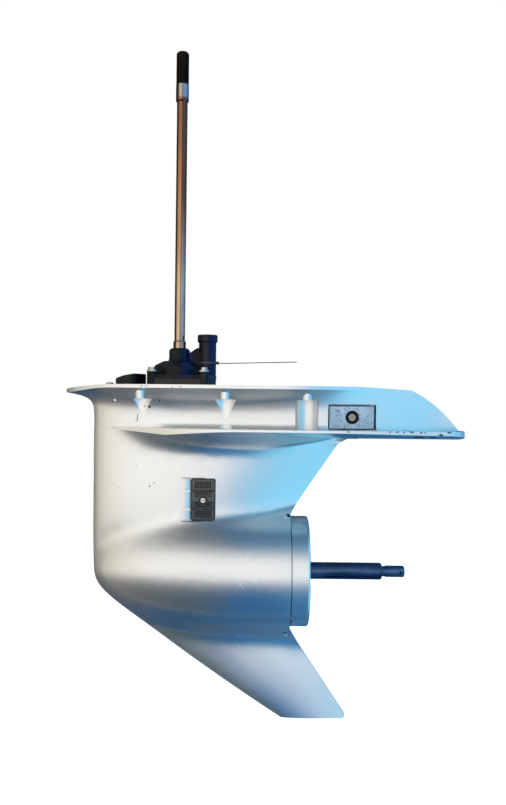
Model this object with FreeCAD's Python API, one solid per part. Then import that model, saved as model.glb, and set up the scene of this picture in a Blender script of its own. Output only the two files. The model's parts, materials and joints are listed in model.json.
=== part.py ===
"""Outboard lower unit: gearcase, drive line, dog-clutch gear set, shift linkage and water pump.

Frame: millimetres, +Z up. The origin is where the drive shaft's axis meets the deck, the flat
top of the gearcase. -X is forward (the leading edge), +X is aft, -Y is port, +Y is starboard.
"""
import FreeCAD
import Part
import math
import os

V = FreeCAD.Vector
os.makedirs("parts", exist_ok=True)

# Gearcase: side profile
PROP_Z = -275.0             # propeller shaft axis below the deck
LEAD_X = -127.0             # straight leading edge
TORPEDO_R = 81.0            # gear chamber's outside radius, and the rear ring's
TORPEDO_END_X = 168.0       # rear face, where the shaft holder seats
NOSE_FULL_X = 100.0         # where the bullet nose reaches its full radius
SKEG_KNEE_Z = -294.0        # where the leading edge turns back into the skeg
SKEG_LOW_Z = -495.0
SKEG_ROOT_X = 170.0         # top of the skeg's trailing edge
SKEG_ROOT_Z = -368.0
SKEG_RAKE = 0.69            # aft run of the skeg's trailing edge per mm down
TRAIL_ROOT_Z = -188.0       # foot of the leg's trailing edge
TRAIL_RAKE = 0.679          # aft run of the leg's trailing edge per mm up
TRAIL_FILLET = 18.0

# Gearcase: half-breadths
LEG_HALF = 41.0
SKEG_HALF = 8.5
FULLEST = 0.42              # share of the chord at which the leg is thickest
PLATE_HALF = 105.0          # anti-ventilation plate
PLATE_REAR_NARROW = 15.0    # how much narrower the plate's rear end is, each side
PLATE_FRONT_X = -95.0
PLATE_REAR_X = 412.0
PLATE_FULL_X = 60.0         # where the plate's belly reaches its full depth
PLATE_TOP_Z = -62.0
RIM_THICK = 3.0
PLATE_CROWN = 11.0          # belly of the plate below its rim
FLARE_HEIGHT = 48.0         # hollow flare from the leg into the plate's rim
UPPER_HALF = 58.0           # wall above the plate, at its widest
TAIL_HALF = 33.0
WALL_STEP = 0.4             # the wall above the plate stands this far inside the leg's
FOOT_OUT = 3.5              # hollow corner where that wall meets the plate
FOOT_HEIGHT = 10.0
DECK_HALF = 80.0            # flange at the deck
DECK_WIDEST_X = 60.0
LIP_REACH = 41.0            # how far the front lip runs ahead of the leading edge
LIP_DROOP = 7.0
LIP_FROM_X = -100.0         # where the lip starts to droop
DECK_RIM = 5.0
TAIL_TOP_X = 340.0          # rear end of the flat top
TAIL_DROP = 4.0

# Deck bolts, three a side
BOLT_XS = (-51.0, 71.0, 188.0)
BOLT_YS = (52.0, 62.0, 62.0)
BOLT_HOLE_R = 5.25
BOLT_BOSS_R = 7.5
BOLT_SEAT_Z = -20.0
POCKET_R = 17.0

# Gears: straight bevel, module at the large end
MODULE = 3.75
PINION_TEETH = 14
GEAR_TEETH = 28
PRESSURE_ANGLE = math.radians(20)
FACE_WIDTH = 17.0
PINION_ADDENDUM = 1.3       # in modules: long on the pinion, short on the gears
GEAR_ADDENDUM = 0.7
TIP_CLEARANCE = 0.2
BACKLASH = 0.3              # taken off each tooth's thickness
PINION_NOSE = 36.0          # pinion's ends above the propeller shaft's axis
PINION_HUB = 64.0

# Drive shaft
DRIVE_TOP_Z = 499.0
DRIVE_SLIM_R = 8.0
DRIVE_R = 9.5
DRIVE_HEAD_R = 9.7          # ground band under the spline
DRIVE_SPLINE_R = 9.4
DRIVE_SPLINES = 17
DRIVE_SPLINE_LENGTH = 49.0
DRIVE_HEAD_LENGTH = 73.0
DRIVE_SLIM_LOW_Z = 67.0
PINION_JOURNAL_R = 12.0
PINION_SEAT_R = 10.0
PINION_THREAD_R = 9.0
DRIVE_BEARING_R = 12.5      # taper bearing's bore
DRIVE_BEARING_CUP_R = 30.0
DRIVE_BEARING_LOW_Z = -96.0
DRIVE_BEARING_WIDTH = 20.0
NEEDLE_GAP = 5.0            # from the pinion's hub up to its needle bearing
NEEDLE_LOW_Z = PROP_Z + PINION_HUB + NEEDLE_GAP
NEEDLE_LENGTH = 30.0
NEEDLE_SHELL_R = 21.0

# Propeller shaft
SHAFT_R = 12.5
SHAFT_FRONT_X = -60.0
SHAFT_SHOULDER_X = 306.0
SHAFT_END_X = 340.0
SHAFT_THREAD_R = 8.5
SHAFT_SPLINE_X = 222.0
SHAFT_SPLINES = 15
SHAFT_BORE_R = 5.2
RUNNING = 0.05              # radial clearance of a running or sliding fit

# Dog clutch
JAWS = 8
JAW_HEIGHT = 5.0
JAW_INNER_R = 14.5
JAW_OUTER_R = 22.0
JAW_ANGLE = 21.0
DOG_R = 23.0
DOG_HALF = 4.5
NEUTRAL_GAP = 2.5
ENGAGEMENT = 4.2
TRAVEL = NEUTRAL_GAP + ENGAGEMENT
JAW_ROOT_X = DOG_HALF + 2 * JAW_HEIGHT + NEUTRAL_GAP
CROSS_PIN_R = 3.0

# Bearings and the shaft holder
GEAR_HUB_R = 20.0
GEAR_BACK_X = 38.0
FORWARD_HUB_X = 60.0
REVERSE_HUB_X = 62.0
FORWARD_CUP_R = 36.0
GEAR_CHAMBER_R = 57.0
GEAR_CHAMBER_FRONT_X = -39.0
TORPEDO_WALL = 13.0
EXHAUST_R = TORPEDO_R - TORPEDO_WALL    # exhaust chamber round the holder
EXHAUST_FRONT_X = 100.0
HOLDER_SEAT_R = 40.0        # ball bearing's outside
HOLDER_FRONT_X = 44.0
HOLDER_HUB_R = 26.0
HOLDER_REAR_X = 195.0       # rear face of the visible ring
RING_WALL = 15.0
HOLDER_RING_INNER_R = TORPEDO_R - RING_WALL
HOLDER_BOLT_INSET = 7.0     # how far the two bolts lie inside the ring's outside
HOLDER_BOLT_R = TORPEDO_R - HOLDER_BOLT_INSET
SEAM = 0.9                  # open seam at the ring's front edge

# Shift linkage
ROD_X = -78.0
ROD_R = 6.0
ROD_TOP_Z = 13.0
CRANK_R = 16.0
CRANK_THROW = 11.7
CRANK_PIN_R = 4.0
CRANK_LOW_Z = PROP_Z + 7.0
CRANK_THICK = 6.0
YOKE_PLAY = 0.35
YOKE_WALL = 5.0
YOKE_Y = (-9.0, 19.0)
YOKE_SLOT_Y = (4.5, 16.3)
YOKE_HALF_Z = 5.0
SHIFT_CAVITY_R = 22.0
SHIFT_CAVITY_FRONT_X = -97.0

# Water pump
PAD = 0.5                   # the pump and the shift cover sit this far into the deck
GASKET = 0.6
BASE_TOP_Z = 9.0
WEAR_PLATE = 0.8
PUMP_X = -2.0               # eccentric pumping chamber
PUMP_R = 36.0
PUMP_SHOULDER_Z = 29.0
PUMP_NECK_R = 15.5
PUMP_NECK_LOW_Z = 36.0
PUMP_NECK_TOP_Z = 55.5
LINER_R = 32.0
LINER_WALL = 2.5
LINER_TOP_Z = 29.5
IMPELLER_R = 27.0
TOWER_X = 42.0
TOWER_R = 13.0
TOWER_CAP_R = 15.0
TOWER_CAP_LOW_Z = 64.0
TOWER_TOP_Z = 76.0
TUBE_R = 7.5
PUMP_BOLT_XS = (-36.0, 39.0)
PUMP_BOLT_Y = 38.0
PUMP_LUG_R = 7.5
PUMP_LUG_TOP_Z = 19.5
PUMP_WASHER = 2.0
PUMP_HEAD = 4.4
PUMP_INLET = (10.0, -20.0)  # port through the base into the pumping chamber
PUMP_INLET_R = 4.5
PUMP_OUTLET_Y = (1.0, 9.0)
FOOT_GAP = 0.15             # from the base plate to the feet beside it

# Outside fittings
INTAKE_X = (22.0, 58.0)
INTAKE_Z = (-196.5, -135.5)
SCREEN_THICK = 3.0
SCREEN_GAP = 0.4
SCREEN_CORNER = 3.0
ANODE_X = (220.0, 287.0)
ANODE_Z = (-61.7, -26.5)
ANODE_GAP = 1.6
ANODE_THICK = 12.0
DOWEL_X = -104.0
DOWEL_R = 5.5


def smooth_step(x, low, high):
    u = min(1.0, max(0.0, (x - low) / (high - low)))
    return u * u * (3 - 2 * u)


def turned_z(points, x=0.0, y=0.0):
    """Solid turned about a vertical axis from (radius, z) corners."""
    loop = [V(x + r, y, z) for r, z in points]
    face = Part.Face(Part.makePolygon(loop + loop[:1]))
    return face.revolve(V(x, y, 0), V(0, 0, 1), 360)


def turned_x(points):
    """Solid turned about the propeller shaft's axis from (x, radius) corners."""
    loop = [V(x, 0, PROP_Z + r) for x, r in points]
    face = Part.Face(Part.makePolygon(loop + loop[:1]))
    return face.revolve(V(0, 0, PROP_Z), V(1, 0, 0), 360)


def tube_z(outer, inner, low, high, x=0.0, y=0.0):
    return turned_z([(inner, low), (outer, low), (outer, high), (inner, high)], x, y)


def tube_x(outer, inner, low, high):
    return turned_x([(low, inner), (high, inner), (high, outer), (low, outer)])


def rod_z(radius, low, high, x=0.0, y=0.0):
    return Part.makeCylinder(radius, high - low, V(x, y, low))


def rod_x(radius, low, high, y=0.0, z=PROP_Z):
    return Part.makeCylinder(radius, high - low, V(low, y, z), V(1, 0, 0))


def rod_y(radius, low, high, x, z):
    return Part.makeCylinder(radius, high - low, V(x, low, z), V(0, 1, 0))


def box(x, y, z):
    """Box from its (low, high) pairs."""
    return Part.makeBox(x[1] - x[0], y[1] - y[0], z[1] - z[0], V(x[0], y[0], z[0]))


def hexagon(across_flats, low, high, x=0.0, y=0.0):
    r = across_flats / math.sqrt(3)
    corners = [V(x + r * math.cos(k * math.pi / 3), y + r * math.sin(k * math.pi / 3), low)
               for k in range(7)]
    return Part.Face(Part.makePolygon(corners)).extrude(V(0, 0, high - low))


def prism_y(outline, half):
    """Side profile of edges or of (x, z) corners, made a solid across the centre plane."""
    if isinstance(outline[0], tuple):
        loop = [V(x, -half, z) for x, z in outline]
        wire = Part.makePolygon(loop + loop[:1])
    else:
        wire = Part.Wire(outline)
        wire.translate(V(0, -half, 0))
    return Part.Face(wire).extrude(V(0, 2 * half, 0))


def turned_copies(shape, count, centre, axis, phase=0.0):
    out = []
    for k in range(count):
        copy = shape.copy()
        copy.rotate(centre, axis, phase + 360.0 * k / count)
        out.append(copy)
    return out


def mirrored(shape):
    """The same piece on the other side of the centre plane."""
    return shape.mirror(V(0, 0, 0), V(0, 1, 0))


def both_sides(shape):
    return [shape, mirrored(shape)]


def smooth_skin(rows):
    """Closed solid from rows of points that run round the leading edge, flat at both ends."""
    surface = Part.BSplineSurface()
    surface.interpolate(rows)
    u0, u1, v0, v1 = surface.bounds()
    ends = [surface.uIso(u).toShape() for u in (u0, u1)]
    sides = [surface.vIso(v).toShape() for v in (v0, v1)]
    faces = [surface.toShape(), Part.makeRuledSurface(*sides)]
    for edge in ends:
        a, b = edge.Vertexes[0].Point, edge.Vertexes[-1].Point
        faces.append(Part.Face(Part.Wire([edge, Part.makeLine(b, a)])))
    shell = Part.makeCompound(faces)
    shell.sewShape()
    solid = Part.makeSolid(shell.Shells[0])
    if solid.Volume < 0:
        solid.reverse()
    return solid


# The gearcase skin: half-breadths by formula

RIM_LOW_Z = PLATE_TOP_Z - RIM_THICK
UPPER_FOOT_Z = RIM_LOW_Z - 3
NOSE_LENGTH = NOSE_FULL_X - LEAD_X


def leading_x(z):
    """Leading edge: straight, then swept back down the skeg."""
    d = SKEG_KNEE_Z - z
    d = 0.5 * (d + math.hypot(d, 14.0))
    return LEAD_X + 1.25 * d + 0.0008 * d * d


def trailing_x(z):
    leg = TORPEDO_END_X + TRAIL_RAKE * (z - TRAIL_ROOT_Z)
    skeg = SKEG_ROOT_X + SKEG_RAKE * (SKEG_ROOT_Z - z)
    k = 9.0
    lines = (leg, TORPEDO_END_X, skeg)
    top = max(lines)
    return top + k * math.log(sum(math.exp((line - top) / k) for line in lines))


def aerofoil(s, tail):
    """Half-thickness share of a streamlined section at share s of its chord."""
    if s <= 0:
        return 0.0
    if s < FULLEST:
        return math.sqrt(1 - (1 - s / FULLEST) ** 2)
    u = (s - FULLEST) / (1 - FULLEST)
    body = max(0.0, 1 - (1 - tail) * u ** 1.8)
    return (body ** 6 + tail ** 6) ** (1 / 6)


def leg_half(x, z):
    """Leg above the gear chamber, skeg below it."""
    leg_share = smooth_step(z, PROP_Z - TORPEDO_R, PROP_Z + TORPEDO_R)
    full = SKEG_HALF + (LEG_HALF - SKEG_HALF) * leg_share
    below = max(0.0, PROP_Z - TORPEDO_R - z)
    full *= 1 - 0.35 * below / (PROP_Z - TORPEDO_R - SKEG_LOW_Z)
    s = (x - leading_x(z)) / (trailing_x(z) - leading_x(z))
    return full * aerofoil(s, 0.1 + 0.25 * (1 - leg_share))


def torpedo_half(x, z, t):
    """Bullet-nosed gear chamber, with soft fillets into leg and skeg."""
    u = max(0.0, (NOSE_FULL_X - x) / NOSE_LENGTH)
    r = TORPEDO_R * math.sqrt(max(0.0, 1 - u * u))
    if r < 2:
        return 0.0
    fillet = 8.0
    q = (r * r - (z - PROP_Z) ** 2) / (2 * r * fillet)
    q = fillet * math.log(1 + math.exp(q)) if q > -40 else 0.0
    return math.sqrt(2 * r * q) * abs(t) / math.hypot(t, 0.12)


def plate_half(x):
    wall = leg_half(x, RIM_LOW_Z)
    grown = wall + (PLATE_HALF - wall) * smooth_step(x, PLATE_FRONT_X - 10, 90)
    return grown - PLATE_REAR_NARROW * smooth_step(x, 170, PLATE_REAR_X)


def flare_share(x, z):
    """0 on the leg, rising in a hollow curve to 1 at the plate's rim."""
    h = 1 + (FLARE_HEIGHT - 1) * smooth_step(x, PLATE_FRONT_X - 33, -45)
    h -= (h - 10) * smooth_step(x, 110, 262)
    s = (z - RIM_LOW_Z) / h + 1
    return s ** 3.2 if s > 0 else 0.0


def lower_half(x, z, t):
    y = (leg_half(x, z) ** 3 + torpedo_half(x, z, t) ** 3) ** (1 / 3)
    return y + max(0.0, plate_half(x) - 0.8 - y) * flare_share(x, z)


def row(start_x, end_x, place):
    """Points round the leading edge; place(x, t) gives (half-breadth, z)."""
    half = 20
    points = []
    for i in range(-half, half + 1):
        t = i / half
        x = start_x + (end_x - start_x) * t * t
        y, z = place(x, t)
        points.append(V(x, math.copysign(y, t) if i else 0.0, z))
    return points


def lower_skin():
    drops = [0, 1.5, 3.2, 5.2, 7.6, 10.5, 14, 18, 23, 29, 36, 44, 54, 66]
    heights = [RIM_LOW_Z - d for d in drops]
    while heights[-1] > SKEG_LOW_Z - 10:
        heights.append(heights[-1] - 11)
    rows = []
    for z in heights:
        rows.append(row(leading_x(z), trailing_x(z) + 25, lambda x, t: (lower_half(x, z, t), z)))
    return smooth_skin(rows)


def aft_cutter():
    """All that lies behind the leg, the gear chamber and the skeg."""
    belly_z = RIM_LOW_Z - PLATE_CROWN - 1
    top_x = TORPEDO_END_X + TRAIL_RAKE * (belly_z - TRAIL_ROOT_Z)
    slope = math.hypot(1, TRAIL_RAKE)
    back = TRAIL_FILLET * (slope - TRAIL_RAKE)
    start = V(top_x + back, 0, belly_z)
    down = V(-TRAIL_RAKE / slope, 0, -1 / slope)
    corner = V(top_x, 0, belly_z)
    end = corner + down * back
    middle = corner + (V(1, 0, 0) + down).normalize() * (back * 0.42)
    root = V(TORPEDO_END_X, 0, TRAIL_ROOT_Z)
    foot = V(TORPEDO_END_X, 0, SKEG_ROOT_Z + 5)
    toe_x = SKEG_ROOT_X + SKEG_RAKE * (SKEG_ROOT_Z - SKEG_LOW_Z - 9)
    toe = V(toe_x, 0, SKEG_LOW_Z + 9)
    toe_mid = V(toe_x + 1.5, 0, SKEG_LOW_Z + 2.5)
    toe_low = V(toe_x - 6, 0, SKEG_LOW_Z)
    far = [V(0, 0, SKEG_LOW_Z), V(0, 0, SKEG_LOW_Z - 80), V(600, 0, SKEG_LOW_Z - 80),
           V(600, 0, RIM_LOW_Z + 20), V(start.x + 60, 0, RIM_LOW_Z + 20), V(start.x + 60, 0, belly_z)]
    edges = [Part.makeLine(far[5], start), Part.Arc(start, middle, end).toShape(),
             Part.makeLine(end, root), Part.makeLine(root, foot), Part.makeLine(foot, toe),
             Part.Arc(toe, toe_mid, toe_low).toShape(), Part.makeLine(toe_low, far[0])]
    edges += [Part.makeLine(a, b) for a, b in zip(far, far[1:])]
    return prism_y(edges, 200)


def plate():
    """Anti-ventilation plate: thin rim, rounded rear corners and a full belly."""
    corner = 30.0
    xs = [PLATE_FRONT_X - 14 + 18 * k for k in range(60)]
    xs = [x for x in xs if x < PLATE_REAR_X - corner - 8] + [PLATE_REAR_X - corner]
    side = [V(x, plate_half(x) if x > PLATE_FRONT_X - 10 else leg_half(x, RIM_LOW_Z) - 6, 0) for x in xs]
    curve = Part.BSplineCurve()
    curve.interpolate(side)
    half = side[-1].y
    rear = V(PLATE_REAR_X, half - corner, 0)
    turn = V(PLATE_REAR_X - corner * (1 - math.sqrt(0.5)), half - corner * (1 - math.sqrt(0.5)), 0)
    port = [curve.toShape(), Part.Arc(side[-1], turn, rear).toShape()]
    ends = [Part.makeLine(rear, V(rear.x, -rear.y, 0)),
            Part.makeLine(V(side[0].x, -side[0].y, 0), side[0])]
    outline = Part.Wire(Part.__sortEdges__(port + [mirrored(edge) for edge in port] + ends))
    blank = Part.Face(outline)
    blank.translate(V(0, 0, PLATE_TOP_Z - 40))
    blank = blank.extrude(V(0, 0, 40))
    belly = Part.Arc(V(-100, -PLATE_HALF, RIM_LOW_Z), V(-100, 0, RIM_LOW_Z - PLATE_CROWN),
                     V(-100, PLATE_HALF, RIM_LOW_Z)).toShape()
    top = [V(-100, PLATE_HALF, PLATE_TOP_Z), V(-100, -PLATE_HALF, PLATE_TOP_Z)]
    loop = [belly, Part.makeLine(V(-100, PLATE_HALF, RIM_LOW_Z), top[0]), Part.makeLine(*top),
            Part.makeLine(top[1], V(-100, -PLATE_HALF, RIM_LOW_Z))]
    section = Part.Face(Part.Wire(loop)).extrude(V(600, 0, 0))
    below = RIM_LOW_Z - PLATE_CROWN - 1
    blade = prism_y([(PLATE_FRONT_X - 30, RIM_LOW_Z), (PLATE_FRONT_X, RIM_LOW_Z), (PLATE_FULL_X, below),
                     (PLATE_FULL_X, below - 20), (PLATE_FRONT_X - 30, below - 20)], 200)
    return blank.common(section).cut(blade)


def upper_half(x, shift):
    """Wall between plate and deck; shift moves the nose with the leaning front edge."""
    nose = leg_half(x + shift * (1 - smooth_step(x, LEAD_X, 0)), RIM_LOW_Z)
    wide = UPPER_HALF - (UPPER_HALF - TAIL_HALF) * smooth_step(x, 195, 430)
    return nose + (wide - nose) * smooth_step(x, 0, 190)


def deck_half(x):
    """Outline of the deck's flange."""
    if x < DECK_WIDEST_X:
        u = (DECK_WIDEST_X - x) / (DECK_WIDEST_X - LEAD_X + LIP_REACH)
        return DECK_HALF * math.sqrt(max(0.0, 1 - u * u))
    return DECK_HALF - (DECK_HALF - upper_half(x, 0)) * smooth_step(x, 150, 300)


def droop(x):
    return LIP_DROOP * smooth_step(-x, -LIP_FROM_X, LIP_REACH - LEAD_X)


def upper_skin():
    end_x = PLATE_REAR_X + 20
    rows = []
    levels = [0, 0.06, 0.11, 0.145, 0.185, 0.235, 0.3, 0.38, 0.47, 0.56, 0.65, 0.73, 0.79, 0.85, 0.9,
              0.94, 0.97, 1]
    for v in levels:
        reach = LIP_REACH * v ** 6.5

        def place(x, t):
            wall = upper_half(x - WALL_STEP, reach)
            out = deck_half(x - (LIP_REACH - reach)) if x < DECK_WIDEST_X else deck_half(x)
            y = max(0.0, wall - WALL_STEP * min(1.0, 8 * abs(t)))
            y += max(0.0, out - wall) * v ** 4.5
            z = UPPER_FOOT_Z + (-DECK_RIM - droop(x) - UPPER_FOOT_Z) * v
            near = min(1.0, max(0.0, 1 - (z - PLATE_TOP_Z) / FOOT_HEIGHT))
            return y + FOOT_OUT * near * near * smooth_step(x, -60, 0), z

        rows.append(row(LEAD_X + WALL_STEP * (1 - v) - reach, end_x, place))
    surface = Part.BSplineSurface()
    surface.interpolate(rows)
    u0, u1, v0, v1 = surface.bounds()
    rim = surface.uIso(u1).toShape()
    top = Part.BSplineCurve()
    top.interpolate([V(p.x, p.y, 12) for p in rows[-1]])
    top = top.toShape()
    foot = surface.uIso(u0).toShape()
    sides = [surface.vIso(v).toShape() for v in (v0, v1)]
    ends = [edge.Vertexes[0].Point for edge in (foot, rim, top)]
    others = [edge.Vertexes[-1].Point for edge in (foot, rim, top)]
    rear = [Part.makeLine(ends[1], ends[2]), Part.makeLine(ends[2], others[2]),
            Part.makeLine(others[2], others[1])]
    faces = [surface.toShape(), Part.makeRuledSurface(rim, top)]
    faces.append(Part.Face(Part.Wire([foot, Part.makeLine(others[0], ends[0])])))
    faces.append(Part.Face(Part.Wire([top, Part.makeLine(others[2], ends[2])])))
    loop = Part.Wire(Part.__sortEdges__(sides + rear + [Part.makeLine(others[0], ends[0])]))
    faces.append(Part.Face(loop))
    shell = Part.makeCompound(faces)
    shell.sewShape()
    solid = Part.makeSolid(shell.Shells[0])
    if solid.Volume < 0:
        solid.reverse()
    return solid


def deck_cutter():
    """All that lies above the lip, the deck and the raked tail."""
    tip = V(LEAD_X - LIP_REACH - 4, 0, -LIP_DROOP - 0.6)
    bend = V(0.5 * (tip.x + LIP_FROM_X), 0, -0.42 * LIP_DROOP)
    flat = V(LIP_FROM_X, 0, 0)
    rake = [V(265, 0, 0), V(TAIL_TOP_X, 0, -TAIL_DROP)]
    slant_mid = V(TAIL_TOP_X + 38, 0, -TAIL_DROP - 23.5)
    slant_low = V(PLATE_REAR_X - 2, 0, PLATE_TOP_Z)
    edges = [Part.Arc(tip, bend, flat).toShape(), Part.makeLine(flat, rake[0]), Part.makeLine(*rake),
             Part.Arc(rake[1], slant_mid, slant_low).toShape()]
    below = V(slant_low.x, 0, RIM_LOW_Z - 5)
    far = [slant_low, below, V(600, 0, below.z), V(600, 0, 60), V(tip.x, 0, 60), tip]
    edges += [Part.makeLine(a, b) for a, b in zip(far, far[1:])]
    return prism_y(edges, 200)


def deck_bolt_places():
    return [(x, side * y) for x, y in zip(BOLT_XS, BOLT_YS) for side in (-1, 1)]



def upper_wall_y(x):
    return upper_half(x, 0)


def slanted_block(x, z, depth, thick, grow=0.0):
    """Block let into the starboard tail wall, turned to lie along it; depth is its outer face's."""
    middle = 0.5 * (x[0] + x[1])
    slope = (upper_wall_y(x[1]) - upper_wall_y(x[0])) / (x[1] - x[0])
    block = Part.makeBox(x[1] - x[0] + 2 * grow, thick, z[1] - z[0] + 2 * grow,
                         V(x[0] - middle - grow, -depth - thick, z[0] - grow))
    block.rotate(V(0, 0, 0), V(0, 0, 1), math.degrees(math.atan(slope)))
    block.translate(V(middle, upper_wall_y(middle), 0))
    return block


# Inside the gearcase

def deck_bosses():
    return [rod_z(BOLT_BOSS_R, BOLT_SEAT_Z, -DECK_RIM, x, y) for x, y in deck_bolt_places()]


def deck_pockets():
    cuts = []
    for x, y in deck_bolt_places():
        cuts.append(rod_z(POCKET_R, PLATE_TOP_Z, BOLT_SEAT_Z, x, y))
        cuts.append(rod_z(BOLT_HOLE_R, BOLT_SEAT_Z - 1, 1, x, y))
    return cuts


def drive_bores():
    shelf = DRIVE_BEARING_LOW_Z - 1
    pinion_top = NEEDLE_LOW_Z - 4
    points = [(0, PROP_Z), (33, PROP_Z), (33, pinion_top), (NEEDLE_SHELL_R, pinion_top),
              (NEEDLE_SHELL_R, NEEDLE_LOW_Z + NEEDLE_LENGTH), (17, NEEDLE_LOW_Z + NEEDLE_LENGTH),
              (17, shelf), (DRIVE_BEARING_CUP_R, shelf), (DRIVE_BEARING_CUP_R, 5), (0, 5)]
    return turned_z(points)


def torpedo_bores():
    front = GEAR_CHAMBER_FRONT_X
    cup_front = front - DRIVE_BEARING_WIDTH - 1
    points = [(cup_front - 1, 0), (cup_front - 1, 26), (cup_front, 26), (cup_front, FORWARD_CUP_R),
              (front, FORWARD_CUP_R), (front, GEAR_CHAMBER_R), (EXHAUST_FRONT_X, GEAR_CHAMBER_R),
              (EXHAUST_FRONT_X, EXHAUST_R), (200, EXHAUST_R), (200, 0)]
    return turned_x(points)


def shift_bores():
    cavity = rod_x(SHIFT_CAVITY_R, SHIFT_CAVITY_FRONT_X, SHAFT_FRONT_X + 2)
    return [cavity, rod_z(ROD_R + 0.4, PROP_Z, 5, ROD_X), rod_z(9.0, -14, 5, ROD_X)]


def edges_across(shape):
    """Straight edges that run from side to side."""
    out = []
    for edge in shape.Edges:
        a, b = edge.Vertexes[0].Point, edge.Vertexes[-1].Point
        if abs(a.x - b.x) + abs(a.z - b.z) < 0.001 and abs(a.y - b.y) > 1:
            out.append(edge)
    return out


def tapered_wire(x, half_y, z):
    """Level outline from x[0] to x[1], half_y wide at each end."""
    corners = [V(x[0], -half_y[0], z), V(x[1], -half_y[1], z), V(x[1], half_y[1], z),
               V(x[0], half_y[0], z)]
    return Part.makePolygon(corners + corners[:1])


EXHAUST_DECK = ((95.0, 205.0), (36.0, 36.0))
EXHAUST_WAIST = ((90.0, 166.0), (26.0, 13.0))
EXHAUST_FOOT = ((104.0, 140.0), (15.0, 7.5))


def exhaust_passage():
    """From the deck down behind the drive shaft into the chamber round the holder."""
    wires = [tapered_wire(*EXHAUST_DECK, 5), tapered_wire(*EXHAUST_DECK, -45),
             tapered_wire(*EXHAUST_WAIST, -105), tapered_wire(*EXHAUST_FOOT, PROP_Z + 60)]
    return Part.makeLoft(wires, True, True)


def water_passage():
    """A chamber behind each screen, both open to the riser above their middle wall."""
    low, high = INTAKE_Z
    mid = 0.5 * (INTAKE_X[0] + INTAKE_X[1])
    halves = box((mid - 13, mid + 13), (1.5, 60), (low + 3, high - 3)).cut(rod_z(27, low, high))
    return both_sides(halves) + [rod_z(7.0, high - 4, 5, TOWER_X + 1)]


def intake_recess():
    """Seat of the starboard screen, with the three-part ramp cast ahead of it."""
    wall = leg_half(0.5 * (INTAKE_X[0] + INTAKE_X[1]), 0.5 * (INTAKE_Z[0] + INTAKE_Z[1]))
    inner = wall - SCREEN_THICK - 0.8
    seat = box((INTAKE_X[0] - SCREEN_GAP, INTAKE_X[1] + SCREEN_GAP), (inner, 80),
               (INTAKE_Z[0] - SCREEN_GAP, INTAKE_Z[1] + SCREEN_GAP))
    aft = [edge for edge in edges_across(seat) if edge.CenterOfMass.x > INTAKE_X[1]]
    seat = seat.makeFillet(SCREEN_CORNER + SCREEN_GAP, aft)
    cuts = [seat]
    for low, high in screen_bays():
        ramp = Part.makePolygon([V(INTAKE_X[0] - 15, wall + 1.5, low), V(INTAKE_X[0], inner, low),
                                 V(INTAKE_X[0], 80, low), V(INTAKE_X[0] - 15, 80, low),
                                 V(INTAKE_X[0] - 15, wall + 1.5, low)])
        cuts.append(Part.Face(ramp).extrude(V(0, 0, high - low)))
    return cuts


def screen_bays():
    """Heights of the screen's three mesh bays, between the two bars."""
    low, high = INTAKE_Z
    step = (high - low) / 61
    return [(low, low + 15.5 * step), (low + 17.5 * step, high - 19 * step), (high - 17 * step, high)]


def small_holes():
    """Drillings seen on the wall below the deck and on the leg."""
    spots = [(-91, -23, 1.75), (-46, -31, 1.75), (-27, -22, 1.75), (-31, -142, 1.0)]
    return [rod_y(r, side - 25, side + 25, x, z) for x, z, r in spots for side in (-55, 55)]


def holder_bolt_places():
    return [(side * HOLDER_BOLT_R, PROP_Z) for side in (-1, 1)]


DRAIN_PLUG = (-40.0, PROP_Z - 30.0)
LEVEL_PLUG = (-72.0, -120.0)
PLUG_R = 5.0
PLUG_HEAD_R = 8.0
PLUG_HEAD = 4.0
PLUG_SHANK = 8.0
PLUG_BORE = 14.0


def wall_at(x, z):
    return lower_half(x, z, math.sqrt((x - leading_x(z)) / (trailing_x(z) + 25 - leading_x(z))))


def plug_places():
    """Starboard oil plugs: (x, z, where the head's seat lies)."""
    return [(x, z, wall_at(x, z) - 5) for x, z in (DRAIN_PLUG, LEVEL_PLUG)]


def plug_bores():
    cuts = []
    for x, z, seat in plug_places():
        cuts.append(rod_y(PLUG_HEAD_R + 1, seat, seat + 40, x, z))
        cuts.append(rod_y(PLUG_R, seat - PLUG_BORE, seat + 1, x, z))
    x, z = LEVEL_PLUG
    cuts.append(rod_y(0.6 * PLUG_R, 1, 20, x, z))
    return cuts


def gearcase_housing():
    body = lower_skin().cut(aft_cutter())
    upper = upper_skin().cut(deck_cutter())
    body = body.fuse([plate(), upper])
    body = body.fuse([boss.common(deck_slab()) for boss in deck_bosses()])
    cuts = deck_pockets() + [drive_bores(), torpedo_bores(), exhaust_passage()]
    cuts += shift_bores() + water_passage() + small_holes() + plug_bores()
    for recess in intake_recess():
        cuts += both_sides(recess)
    cuts += both_sides(slanted_block(ANODE_X, ANODE_Z, -20, ANODE_THICK + 22, ANODE_GAP))
    cuts += [pump_outline(-PAD, 5, 1.2), shift_cover_outline(-PAD, 5, 0.6)]
    cuts.append(rod_z(DOWEL_R, -8, 5, DOWEL_X))
    cuts.append(rod_y(4.1, -70, 70, *anode_bolt_place()))
    for y, z in holder_bolt_places():
        cuts.append(rod_x(4.0, TORPEDO_END_X - 22, TORPEDO_END_X + 5, y, z))
    for x in PUMP_BOLT_XS:
        cuts += [rod_z(3.0, -22, 5, x, side * PUMP_BOLT_Y) for side in (-1, 1)]
    for y in (-COVER_BOLT_Y, COVER_BOLT_Y):
        cuts.append(rod_z(2.5, -14, 5, COVER_BOLT_X, y))
    cuts.append(rod_y(2.0, -60, 60, *screen_screw_place()))
    return body.cut(cuts)


def deck_slab():
    return box((-300, 600), (-200, 200), (BOLT_SEAT_Z, -1))


def anode_bolt_place():
    return 0.5 * (ANODE_X[0] + ANODE_X[1]), 0.5 * (ANODE_Z[0] + ANODE_Z[1])


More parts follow.
